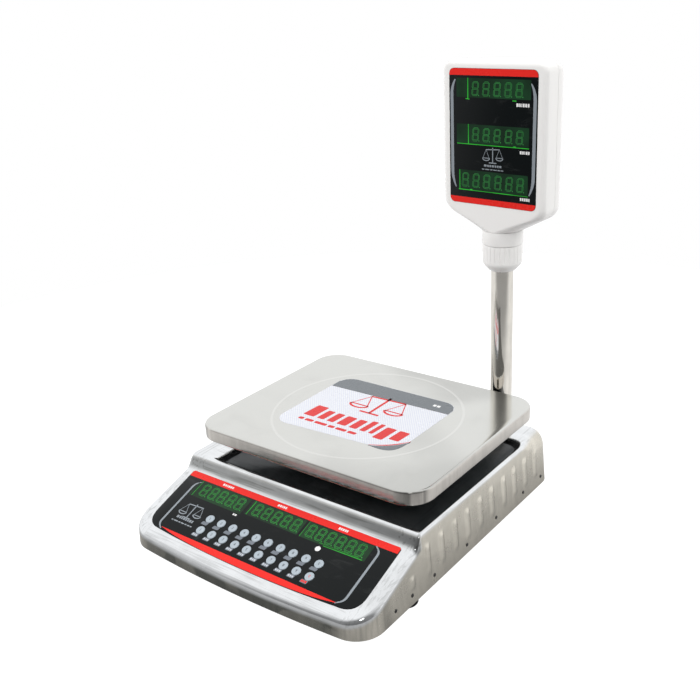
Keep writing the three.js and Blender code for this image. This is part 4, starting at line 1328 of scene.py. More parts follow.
    def side_screws(self) -> Surface:
        """Pan heads along the lower edge of both sides."""
        profile = np.array([[0.3, -1.5], [1.7, -1.5], [2.1, 0.0], [2.0, 0.5], [1.5, 0.85],
                            [0.3, 0.95]])
        heads = []
        for side in (-1.0, 1.0):
            wall = float(self.drafted(np.array(self.half_width), np.array(self.screw_height)))
            for y in self.screws:
                at = Placing((side * (wall - self.screw_sunk), y, self.screw_height),
                             (0.0, side, 0.0), (0.0, 0.0, 1.0), (side, 0.0, 0.0))
                heads.append(turned(profile, 16).placed(at))
        return Surface.joined(heads)

    def build(self, look: Wardrobe, windows: Sequence[tuple[Span, Span]],
              keys: tuple[Span, Span]) -> None:
        """Makes the shell, with openings for the panel's windows and keys, and its screws."""
        cutter = self.openings(windows, keys)
        make_piece("body_shell_steel", [Part(self.surface(), look.shell)], "base",
                   ["body_shell"],
                   Craft(wall=self.sheet, cut=cutter, smooth=38.0))
        make_piece("side_screws", [Part(self.side_screws(), look.dark_screw)], "base")


# ---- Displays and the operator's panel ----

@dataclass(frozen=True)
class Figures:
    """A row of seven-segment figures, all segments shown, in a flat frame.

    Attributes:
        centres: Places of the figures across.
        low: Their foot.
        high: Their head.
        width: Width of a figure.
        stem: Width of a segment.
        slant: How far the head leans to the right, as a share of the height.
        gap: Distance from a segment's tip to the corner that it shares with the next.
    """

    centres: tuple[float, ...]
    low: float
    high: float
    width: float
    stem: float
    slant: float = 0.09
    gap: float = 0.22

    def outlines(self, shrink: float) -> Array:
        """Seven six-sided segments for each figure, each shrunk by a distance."""
        middle, half = (self.low + self.high) / 2.0, (self.high - self.low) / 2.0 - self.stem / 2.0
        reach = (self.width - self.stem) / 2.0
        thick = self.stem / 2.0 - shrink
        flat = reach - self.gap - shrink
        tall = half / 2.0 - self.gap - shrink
        lying = np.array([[-flat, 0.0], [-flat + thick, -thick], [flat - thick, -thick],
                          [flat, 0.0], [flat - thick, thick], [-flat + thick, thick]])
        standing = np.array([[0.0, -tall], [thick, -tall + thick], [thick, tall - thick],
                             [0.0, tall], [-thick, tall - thick], [-thick, -tall + thick]])
        rows = np.array([[0.0, half], [0.0, 0.0], [0.0, -half]])
        posts = np.array([[sx * reach, sy * half / 2.0] for sx in (-1, 1) for sy in (-1, 1)])
        figure = np.concatenate([rows[:, None] + lying, posts[:, None] + standing])
        figure[..., 0] += figure[..., 1] * self.slant
        shift = np.stack([np.array(self.centres), np.full(len(self.centres), middle)], -1)
        return (shift[:, None, None] + figure[None]).reshape(-1, 6, 2)

    def points(self, radius: float) -> Array:
        """Decimal points at the right foot of each figure."""
        x = np.array(self.centres) + self.width / 2.0 + radius * 1.2 - self.slant * 0.5 * (
            self.high - self.low)
        return disc(0.0, 0.0, radius, 8)[None] + np.stack(
            [x, np.full(len(x), self.low + radius)], -1)[:, None]


@dataclass(frozen=True)
class DisplayWindow:
    """One lit window of a display: its glow, its figures, and its lines of edge light."""

    across: Span
    along: Span
    figures: Figures
    lines: tuple[tuple[float, float, float, float, float], ...] = ()

    def layers(self, glow: bpy.types.Material, segment: bpy.types.Material,
               heart: bpy.types.Material, edge: bpy.types.Material, face: float,
               rim: float) -> list[Part]:
        """Printed layers upwards from a face.

        Args:
            glow: Finish of the lit ground.
            segment: Finish of the segments' edges.
            heart: Finish of the segments' middles.
            edge: Finish of the edge light.
            face: Height of the film's face.
            rim: Width of the segments' bright edges.

        Returns:
            Parts in the flat frame.
        """
        ground = plates(rounded_rectangle(self.across, self.along, 0.8, 3), face - SUNK,
                        face + PRINT)
        bright = plates(self.figures.outlines(0.0), face, face + 2 * PRINT)
        dots = plates(self.figures.points(self.figures.stem * 0.36), face, face + 2 * PRINT)
        dark = plates(self.figures.outlines(rim), face, face + 3 * PRINT)
        parts = [Part(ground, glow), Part(Surface.joined([bright, dots]), segment),
                 Part(dark, heart)]
        if self.lines:
            strokes = [stroke(np.array([[x0, y0], [x1, y1]]), width, face, face + 2 * PRINT)
                       for x0, y0, x1, y1, width in self.lines]
            parts.append(Part(Surface.joined(strokes), edge))
        return parts


def placed_parts(parts: Sequence[Part], placing: Placing) -> list[Part]:
    """Parts carried into the scale's frame."""
    return [Part(part.surface.placed(placing), part.finish) for part in parts]


CAPTION_GAP = 0.35               # space between two blocks of a caption, in the widths' unit


def caption(x: Span, y: Span, widths: Sequence[float]) -> Array:
    """Row of small upright blocks that stands for a printed caption.

    Args:
        x: Left and right ends.
        y: Foot and head.
        widths: Relative width of each block.

    Returns:
        One four-cornered outline for each block.
    """
    whole = sum(widths) + CAPTION_GAP * (len(widths) - 1)
    share, gap = np.array(widths) / whole, CAPTION_GAP / whole
    start = np.concatenate([[0.0], np.cumsum(share + gap)[:-1]])
    left, right = x[0] + (x[1] - x[0]) * start, x[0] + (x[1] - x[0]) * (start + share)
    foot, head = np.full(len(left), y[0]), np.full(len(left), y[1])
    return np.stack([np.stack(pair, -1) for pair in
                     ((left, foot), (right, foot), (right, head), (left, head))], 1)


@dataclass
class OperatorPanel:
    """Film, display windows, prints and keys of the sloped panel, in the panel's own frame.

    Distances down the slope are written s and become -s along the frame's second axis.
    """

    half_width: float = 141.25
    length: float = 86.3
    bow: float = 4.4
    lower_corner: float = 23.0
    film: float = 0.6
    key_rows: tuple[float, float] = (49.05, 65.1)
    key_pitch: float = 16.4
    key_centre: float = 1.77
    key_radius: float = 4.9
    key_hole: float = 5.2
    mark_height: float = 2.9
    key_margin: tuple[float, float] = (1.0, 9.0)   # from the outer keys to the shell's opening
    window_top: float = -8.9
    figure_stem: float = 2.0
    figure_slant: float = -0.02
    strip_half: float = 118.0               # half length of the lower red strip
    strip_top: float = -78.5
    hole_depths: tuple[Span, ...] = ((9.0, 31.0), (8.0, 30.0), (8.0, 30.0))
    hole_margin: float = 0.8

    def keypad(self) -> tuple[Span, Span]:
        """The shell's opening for the keys: across, and down the slope."""
        half = 5.0 * self.key_pitch + self.key_margin[0]
        return ((self.key_centre - half, self.key_centre + half),
                (self.key_rows[0] - self.key_margin[1], self.key_rows[1] + self.key_margin[1]))

    def window_holes(self) -> list[tuple[Span, Span]]:
        """The shell's openings over the display modules."""
        ends = [extent(f"panel_display_{name}") for name in FIGURE_ROWS]
        return [((low[0] - self.hole_margin, high[0] + self.hole_margin), depths)
                for (low, high), depths in zip(ends, self.hole_depths)]

    def key_places(self) -> list[tuple[str, float, float]]:
        """Name of each key and its place in the panel's frame."""
        return [(f"key_row{row + 1}_{column + 1:02d}",
                 self.key_centre + (column - 4.5) * self.key_pitch, -s)
                for row, s in enumerate(self.key_rows) for column in range(10)]

    def lower_edge(self, x: Array) -> Array:
        """The film's lower edge: a shallow parabola, lowest at the middle."""
        flat = self.half_width - self.lower_corner
        return -(self.length - self.bow * (x / flat) ** 2)

    def film_outline(self) -> Array:
        """Film's outline, counter-clockwise: bowed lower edge, round lower corners, square top."""
        w, flat = self.half_width, self.half_width - self.lower_corner
        x = np.linspace(-flat, flat, 31)
        foot = self.length - self.bow
        side = foot - self.lower_corner * 0.93
        corner = np.array([[flat, -foot], [w, -foot - 0.6], [w, -side]])
        t = np.linspace(0.0, 1.0, 10)[1:, None]
        right = (1 - t) ** 2 * corner[0] + 2 * t * (1 - t) * corner[1] + t ** 2 * corner[2]
        top = np.array([[w, -2.0], [w - 2.0, 0.0], [2.0 - w, 0.0], [-w, -2.0]])
        left = (right * np.array([-1.0, 1.0]))[::-1]
        return np.concatenate([np.stack([x, self.lower_edge(x)], -1), right, top, left[:-1]])

    def film_piece(self, look: Wardrobe) -> None:
        """The film with a hole for each key."""
        body = cushioned_plate(self.film_outline(), -self.film, 0.0, 0.15)
        holes = plates(np.stack([disc(x, y, self.key_hole, 24)
                                 for _, x, y in self.key_places()]), -2.0, 2.0)
        make_piece("panel_film_sheet", [Part(body.placed(PANEL_FRAME), look.film)], "base",
                   ["panel_film"], Craft(cut=holes.placed(PANEL_FRAME)))

    def bracket(self, x: float, ends: Span, inward: float) -> Array:
        """Path of a thin bracket: a long straight side whose ends turn inwards."""
        s0, s1 = ends
        corners = np.array([[x + 7.5 * inward, -s0], [x, -s0 - 5.5], [x, -s1 + 5.5],
                            [x + 7.5 * inward, -s1]])
        return softened(corners, np.array([0.0, 4.5, 4.5, 0.0]), 7, closed=False)

    def prints(self, look: Wardrobe) -> list[Part]:
        """Red strips, brackets, captions, tags and marks printed on the film."""
        top = PRINT
        w = self.half_width - 0.4
        upper = plates(np.array([[-w, -8.0], [w, -8.0], [w, -1.9], [w - 1.8, -0.2],
                                 [1.8 - w, -0.2], [-w, -1.9]]), 0.0, top)
        x = np.linspace(-self.strip_half, self.strip_half, 41)
        edge = self.lower_edge(x) + 0.25 + 3.2 * np.abs(x / self.strip_half) ** 6
        edge = np.minimum(edge, self.strip_top - 0.4)
        lower = band(np.stack([x, np.full_like(x, self.strip_top)], -1),
                     np.stack([x, edge], -1), 0.0, top)
        reds = Surface.joined([upper, lower])
        left = self.bracket(-125.2, (10.5, 81.0), 1.0)
        right = self.bracket(123.6, (7.8, 79.5), -1.0)
        width = 0.9 + 1.6 * np.sin(np.linspace(0.15, math.pi - 0.15, len(left)))
        greys = Surface.joined([stroke(left, width, 0.0, top), stroke(right, width, 0.0, top)])
        on_strip = (-5.6, -2.9)
        captions = np.concatenate([
            caption((-92.0, -76.5), on_strip, (1.0, 0.8, 0.5, 1.0, 0.9, 0.8)),
            caption((-12.5, -0.5), on_strip, (1.0, 0.9, 0.5, 0.9, 0.8)),
            caption((68.0, 79.5), on_strip, (1.0, 0.9, 1.0, 0.9, 0.8)),
            caption((-52.6, -47.6), (-34.6, -32.4), (1.0, 1.0))])
        whites = Surface.joined([plates(captions, top / 2.0, 2.0 * top),
                                 plates(disc(62.9, -34.2, 3.0), 0.0, top)])
        return [Part(reds, look.red), Part(greys, look.grey_ink), Part(whites, look.white_ink),
                *self.emblem(look), *self.tags(look)]

    def emblem(self, look: Wardrobe) -> list[Part]:
        """A plain balance mark, with a row of blocks under it."""
        mark = balance_mark((-100.0, -48.5), 11.5, 0.9, 0.0, PRINT)
        row = plates(np.concatenate([
            caption((-112.0, -88.0), (-61.8, -58.6), (1.2, 0.8, 0.8, 1.0, 0.8, 0.7, 1.0, 0.8)),
            caption((-115.0, -85.0), (-66.6, -65.2), (1.0, 2.0, 1.0, 1.6, 1.0, 1.2, 0.8))]),
            0.0, PRINT)
        return [Part(Surface.joined([mark, row]), look.grey_ink)]

    def tags(self, look: Wardrobe) -> list[Part]:
        """The small tag at the lower left of each key, with a tiny caption on the lower row."""
        outline = softened(np.array([[-6.6, -8.9], [1.6, -8.9], [2.6, -4.9], [-5.6, -4.9]]),
                           0.7, 3)
        places = [(x, y) for _, x, y in self.key_places()]
        shifted = np.stack([outline + np.array(place) for place in places])
        dark = plates(shifted, 0.0, PRINT)
        blocks = np.concatenate([caption((x - 5.4, x + 1.2), (y - 8.0, y - 5.8), (1.0, 0.8, 1.0))
                                 for x, y in places[10:19]])
        last_x, last_y = places[-1]
        red = plates(caption((last_x - 5.4, last_x + 1.2), (last_y - 8.2, last_y - 5.6),
                             (1.0, 0.8, 1.0)), PRINT / 2.0, 2.0 * PRINT)
        return [Part(dark, look.tag_ink),
                Part(plates(blocks, PRINT / 2.0, 2.0 * PRINT), look.pale_tag_ink),
                Part(red, look.red)]

    def displays(self) -> list[DisplayWindow]:
        """The three windows with their figures and edge light."""
        top = self.window_top
        rows = (
            ((-122.0, -45.0), -31.0, (-106.5, -54.5, 5), (-27.6, -11.2, 9.6),
             ((-117.5, top, -117.5, -30.6, 0.5),)),
            ((-41.2, 31.2), -28.6, (-29.5, 23.0, 5), (-26.4, -10.6, 9.4),
             ((-38.6, top, -38.6, -28.2, 0.6),)),
            ((34.0, 115.5), -29.0, (43.0, 105.0, 6), (-26.4, -10.6, 9.2),
             ((34.8, top, 34.8, -28.8, 0.4), (66.0, -29.2, 112.5, -28.2, 0.8),
              (60.0, -27.4, 108.0, -26.9, 0.3))))
        return [DisplayWindow(across, (foot, top),
                              Figures(tuple(np.linspace(*centres)), *size, self.figure_stem,
                                      self.figure_slant), lines)
                for across, foot, centres, size, lines in rows]

    def key(self, name: str, x: float, y: float, text: str, look: Wardrobe) -> None:
        """One key: stem, hidden flange, rim, dished face and its figure."""
        r = self.key_radius
        body = turned(np.array([[0.4, -4.1], [2.2, -4.1], [2.2, -1.9], [6.1, -1.9], [6.1, -1.0],
                                [r, -1.0], [r, 0.35], [r - 0.12, 0.58], [r - 0.4, 0.7],
                                [r - 1.15, 0.7], [r - 1.3, 0.62]]), 36, (x, y))
        face = turned(np.array([[r - 1.2, 0.1], [r - 1.2, 0.55], [r - 1.5, 0.6], [1.6, 0.56],
                                [0.4, 0.55]]), 36, (x, y))
        mark_ink = look.red if name.endswith("row2_10") else look.key_mark
        mark = numeral(text, self.mark_height, x, y, 0.55, 0.66)
        parts = [Part(body, look.key_rim), Part(face, look.key_face), Part(mark, mark_ink)]
        make_piece(name + "_cap", placed_parts(parts, PANEL_FRAME), name, [name])

    def build(self, look: Wardrobe) -> None:
        """Makes the film, its prints and windows, and the keys."""
        self.film_piece(look)
        make_piece("panel_prints", placed_parts(self.prints(look), PANEL_FRAME), "base")
        for name, window in zip(FIGURE_ROWS, self.displays()):
            layers = window.layers(look.window, look.segment, look.heart, look.edge_light,
                                   0.0, 0.5)
            make_piece(f"panel_figures_{name}", placed_parts(layers, PANEL_FRAME), "base")
        for number, (name, x, y) in enumerate(self.key_places()):
            self.key(name, x, y, str((number + 1) % 10), look)


def balance_mark(middle: Span, size: float, width: float, low: float, high: float) -> Surface:
    """Plain pictogram of a balance: a stand, a beam and two pans on cords.

    Args:
        middle: Centre of the mark.
        size: Half its width.
        width: Width of its lines.
        low: Foot of the print.
        high: Face of the print.

    Returns:
        The lines as one surface.
    """
    turn = np.linspace(0.0, math.pi, 17)
    bowl = np.stack([np.cos(turn), -0.62 * np.sin(turn)], -1) * 0.46
    paths = [np.array([[0.0, -0.86], [0.0, 0.86]]), np.array([[-0.9, 0.60], [0.9, 0.70]]),
             np.array([[-0.50, -0.86], [0.50, -0.86]])]
    for side, hang in ((-1.0, 0.60), (1.0, 0.70)):
        foot = hang - 0.95
        paths += [bowl + np.array([side * 0.88, foot]),
                  np.array([[side * 0.88 - 0.46, foot], [side * 0.88 + 0.46, foot]]),
                  np.array([[side * 0.88, hang], [side * 0.88 - 0.42, foot]]),
                  np.array([[side * 0.88, hang], [side * 0.88 + 0.42, foot]])]
    weights = [1.5, 1.3, 1.5] + [1.3, 1.0, 0.6, 0.6] * 2
    strokes = [stroke(path * size + np.array(middle), width * weight, low, high)
               for path, weight in zip(paths, weights)]
    return Surface.joined(strokes)


# ---- Weighing platter, its frame and the feet ----

@dataclass
class Platter:
    """Loose pressed platter with a vinyl label in its middle."""

    across: Span = (-150.0, 150.0)
    along: Span = (-97.2, 152.8)
    top: float = 108.85
    rim: float = 15.5
    corner: float = 29.0
    edge: float = 2.6
    sheet: float = 1.2
    label_width: float = 81.0               # half of the label's width
    label_thick: float = 0.12
    label_far: float = 95.1                 # far end of the grey band
    label_round: float = 19.0               # radius of the label's corners

    def skin(self) -> Surface:
        """Outer face: the outline rises up the rim, rolls over by edge (1 - cos t) inwards and
        edge sin t upwards, and shrinks over the flat top."""
        outline = rounded_rectangle(self.across, self.along, self.corner, 16)
        foot = self.top - self.rim
        rings = [raised(grown(outline, -1.1), foot), raised(grown(outline, -0.5), foot + 0.25),
                 raised(grown(outline, -0.1), foot + 0.8)]
        rings += [raised(outline, z) for z in np.linspace(foot + 1.6, self.top - self.edge, 4)]
        for t in np.linspace(0.0, math.pi / 2.0, 8)[1:]:
            rings.append(raised(grown(outline, -self.edge * (1.0 - math.cos(t))),
                                self.top - self.edge * (1.0 - math.sin(t))))
        middle = np.array([sum(self.across), sum(self.along)]) / 2.0
        flat = grown(outline, -self.edge)
        for share in (0.97, 0.9, 0.75, 0.5, 0.25, 0.06):
            rings.append(raised(middle + (flat - middle) * share, self.top))
        surface = skin(np.stack(rings), closed_ends=False)
        last = len(surface.points) - len(outline)
        surface.faces.append(list(range(last, last + len(outline))))
        return surface

    def label(self, look: Wardrobe) -> list[Part]:
        """The label: hatched ground, a grey band over its far end, a swoosh over its near right
        corner, a plain balance pictogram and bars in place of words."""
        face = self.top
        w = self.label_width
        ground = softened(np.array([[-w, -42.5], [w - 0.5, -32.5], [w, 95.5], [-w, 95.5]]),
                          self.label_round + np.array([0.0, 4.0, 0.0, 0.0]), 12)
        base = cushioned_plate(ground, face - SUNK, face + self.label_thick, 0.05)
        top = face + self.label_thick
        x = np.linspace(-w + 0.4, w - 0.4, 41)
        r = self.label_round
        reach = np.clip(r - (w - np.abs(x)), 0.0, r)
        far = self.label_far - r + np.sqrt(np.clip(r ** 2 - reach ** 2, 0.0, None))
        near = 68.5 + 2.0 * (x / w)
        grey = band(np.stack([x, far], -1), np.stack([x, near], -1), top - 0.01, top + PRINT)
        seam = stroke(np.stack([x, near - 0.7], -1), 1.0, top - 0.01, top + PRINT)
        arc = np.linspace(0.0, 1.0, 21)
        hump = np.sin(math.pi * arc)
        bend = hump * 4.2
        path = np.stack([47.0 + 34.5 * arc + bend * 0.62, -34.5 + 28.5 * arc - bend * 0.78], -1)
        outer = np.stack([47.0 + 34.0 * arc + hump * 9.6, -35.4 + 26.4 * arc - hump * 10.4], -1)
        inner = path + np.array([0.6, -1.4])
        lens = band(inner, outer, top - 0.01, top + PRINT)
        swoosh = stroke(path, 0.5 + 1.4 * hump, top, top + 2.0 * PRINT)
        mark = balance_mark((3.0, 49.0), 26.0, 2.2, top, top + PRINT)
        words = caption((-60.0, 70.0), (-13.0, 9.0),
                        (1.2, 0.75, 0.75, 1.0, 0.8, 0.6, 0.45, 1.0, 1.0))
        tall = np.array([5.0, 0.0, 0.0, 0.0, 0.0, 4.0, 3.0, 0.0, 0.0])
        words[:, 2:, 1] += tall[:, None]
        words[7, :2, 1] -= 6.0
        small = caption((-58.0, 22.0), (-24.5, -19.5), (1.0, 1.6, 2.4, 1.2, 2.0, 1.6))
        lean = np.concatenate([words, small])
        lean[..., 0] += (lean[..., 1] + 8.0) * 0.06
        rounded = np.stack([softened(block, 1.6, 4) for block in lean])
        bars = plates(rounded, top, top + PRINT)
        spot = plates(caption((54.0, 63.0), (79.0, 83.5), (1.0, 1.1)), top + PRINT,
                      top + 2.0 * PRINT)
        return [Part(base, look.label), Part(Surface.joined([grey, lens]), look.label_grey),
                Part(seam, look.label_dark),
                Part(Surface.joined([mark, bars, swoosh]), look.label_red),
                Part(spot, look.white_ink)]

    def build(self, look: Wardrobe) -> None:
        """Makes the platter and its label."""
        make_piece("platter_pan", [Part(self.skin(), look.platter)], "platter",
                   ["platter"], Craft(wall=self.sheet, smooth=50.0))
        make_piece("platter_label", self.label(look), "platter")


@dataclass
class Underpinning:
    """Spider frame, cushions, load cell, base plate, boards and feet."""

    cushion_radius: float = 9.0
    pad_radius: float = 13.0
    stud_head: float = 2.7                  # height of a stud's hexagon head
    stud_head_radius: float = 7.4
    thread_pitch: float = 1.25
    thread_radii: tuple[float, float] = (4.0, 3.45)

    def cushions(self, look: Wardrobe) -> None:
        """Four rubber buttons with a round shoulder and a dimple."""
        for number in range(1, 5):
            node = f"platter_cushion_{number}"
            middle, z0, z1 = standing(node)
            r = self.cushion_radius
            profile = softened(np.array([[0.5, z0], [r, z0], [r, z1], [3.2, z1], [0.5, z1 - 1.2]]),
                               np.array([0.0, 0.6, 1.6, 0.8, 0.0]), 5, closed=False)
            make_piece(f"cushion_button_{number}",
                       [Part(turned(profile, 40, middle), look.rubber)], "weighing_frame",
                       [node])

    def foot(self, place: str, look: Wardrobe) -> None:
        """One foot: a ribbed rubber pad, and a threaded stud with a hexagon head."""
        middle, _, z1 = standing(f"foot_pad_{place}")
        r = self.pad_radius
        profile = softened(np.array([[0.5, 0.6], [r - 3.0, 0.6], [r - 2.6, 0.0], [r - 0.4, 0.0],
                                     [r, 0.8], [r, 2.2], [r - 0.5, 2.6], [r, 3.0], [r, z1 - 1.2],
                                     [r - 1.6, z1], [0.5, z1]]),
                           np.array([0, .3, .3, .4, .4, .2, .2, .2, .7, .7, 0]), 4, closed=False)
        body = f"foot_{place}"
        make_piece(f"foot_{place}_pad", [Part(turned(profile, 48, middle), look.rubber)], body,
                   [f"foot_pad_{place}"])
        _, foot_z, top_z = standing(f"foot_stud_{place}")
        head_z = foot_z + self.stud_head
        head = plates(disc(*middle, self.stud_head_radius, 6), foot_z, head_z)
        turns = np.arange(head_z, top_z - 0.6, self.thread_pitch / 2.0)
        radius = np.where(np.arange(len(turns)) % 2, *self.thread_radii)
        thread = np.concatenate([[[0.4, head_z - 0.1]], np.stack([radius, turns], -1),
                                 [[3.2, top_z], [0.4, top_z]]])
        make_piece(f"foot_{place}_stud",
                   [Part(head, look.zinc), Part(turned(thread, 24, middle), look.zinc)], body,
                   [f"foot_stud_{place}"])

    def build(self, look: Wardrobe) -> None:
        """Makes everything under the platter and inside the body."""
        for node, name, finish, body, slot, *edge in (
                ("spider_frame", "spider_casting", look.spider, "weighing_frame",
                 "black_paint", 0.5),
                ("load_cell", "load_cell_beam", look.aluminium, "base", "aluminium", 0.5),
                ("base_plate", "base_pan", look.zinc, "base", "zinc", 0.3, 1),
                ("battery", "battery_case", look.battery, "base", "battery", 1.5, 3),
                ("transformer", "transformer_core", look.iron, "base", "iron", 0.6),
                ("main_board", "main_board_card", look.board, "base", "board", 0.25),
                ("panel_board", "panel_board_card", look.board, "base", "board", 0.25),
                ("head_board", "head_board_card", look.board, "display_head", "board", 0.25)):
            refined(node, name, finish, body, slot, *edge)
        for name in FIGURE_ROWS:
            refined(f"panel_display_{name}", f"panel_module_{name}", look.black, "base",
                    "display", 0.3)
            refined(f"head_display_{name}", f"head_module_{name}", look.black, "display_head",
                    "display", 0.3)
        self.cushions(look)
        for place in ("front_left", "front_right", "rear_left", "rear_right"):
            self.foot(place, look)


# ---- Rear fittings and the pole ----

@dataclass
class RearFittings:
    """Mains inlet, rocker switch, and the pole with its bracket."""

    pole_radius: float = 12.7
    pole_wall: float = 1.5
    screw_radius: float = 3.2
    screw_inset: tuple[float, float] = (1.8, 10.0)   # from the bracket's sides and ends
    flange_back: float = 172.3                       # y of the flanges' rear face

    def pole(self, look: Wardrobe) -> None:
        """Chromed tube with eased ends."""
        _, z0, z1 = standing("pole")
        r, inner = self.pole_radius, self.pole_radius - self.pole_wall
        profile = softened(np.array([[r, z0], [r, z1], [inner, z1], [inner, z0]]), 0.35, 4)
        rows = np.linspace(z0 + 1.0, z1 - 1.0, 13)
        outer = np.stack([np.full_like(rows, r), rows], -1)
        profile = np.concatenate([profile[:4], outer, profile[4:]])
        make_piece("pole_tube", [Part(turned(profile, 96, POLE_AT, looped=True), look.chrome)],
                   "base", ["pole"])

    def bracket_screws(self, look: Wardrobe) -> None:
        """Four socket screws in the bracket's flanges, seen from behind."""
        low, high = extent("pole_bracket")
        profile = np.array([[0.3, -0.5], [self.screw_radius, -0.5], [self.screw_radius, 1.1],
                            [self.screw_radius - 0.5, 1.6], [1.7, 1.6], [1.6, 0.5], [0.3, 0.45]])
        heads = []
        for x in (low[0] + self.screw_inset[0], high[0] - self.screw_inset[0]):
            for z in (low[2] + self.screw_inset[1], high[2] - self.screw_inset[1]):
                at = Placing((x, self.flange_back, z), (-1.0, 0.0, 0.0), (0.0, 0.0, 1.0),
                             (0.0, 1.0, 0.0))
                heads.append(turned(profile * np.array([0.5, 1.0]), 20).placed(at))
        make_piece("bracket_screws", [Part(Surface.joined(heads), look.zinc)], "base")

    def build(self, look: Wardrobe) -> None:
        """Makes the rear of the scale."""
        self.pole(look)
        refined("pole_bracket", "pole_bracket_block", look.bracket, "base", "satin_steel", 0.8, 3)
        refined("power_inlet", "power_inlet_socket", look.black, "base", "black_plastic", 0.4)
        refined("switch_frame", "switch_bezel", look.black, "base", "black_plastic", 0.4)
        refined("power_rocker", "rocker_key", look.black, "power_rocker", "black_plastic", 0.4, 3)
        self.bracket_screws(look)


# ---- Customer's display head ----

HEAD_TURN = math.radians(-3.8)
HEAD_COSINE, HEAD_SINE = math.cos(HEAD_TURN), math.sin(HEAD_TURN)
HEAD_FRAME = Placing((*POLE_AT, 0.0), (HEAD_COSINE, HEAD_SINE, 0.0),
                     (-HEAD_SINE, HEAD_COSINE, 0.0), (0.0, 0.0, 1.0))
FILM_AHEAD = 22.7                # distance of the film's plane from the pole's axis
BORE = 13.05                     # radius of the collar's and the nut's bore round the pole


def head_face() -> Placing:
    """Frame of the head's film: across, up, and out towards the reader."""
    ahead = np.array([HEAD_SINE, -HEAD_COSINE]) * FILM_AHEAD
    return Placing((POLE_AT[0] + ahead[0], POLE_AT[1] + ahead[1], 0.0),
                   (HEAD_COSINE, HEAD_SINE, 0.0), (0.0, 0.0, 1.0),
                   (HEAD_SINE, -HEAD_COSINE, 0.0))


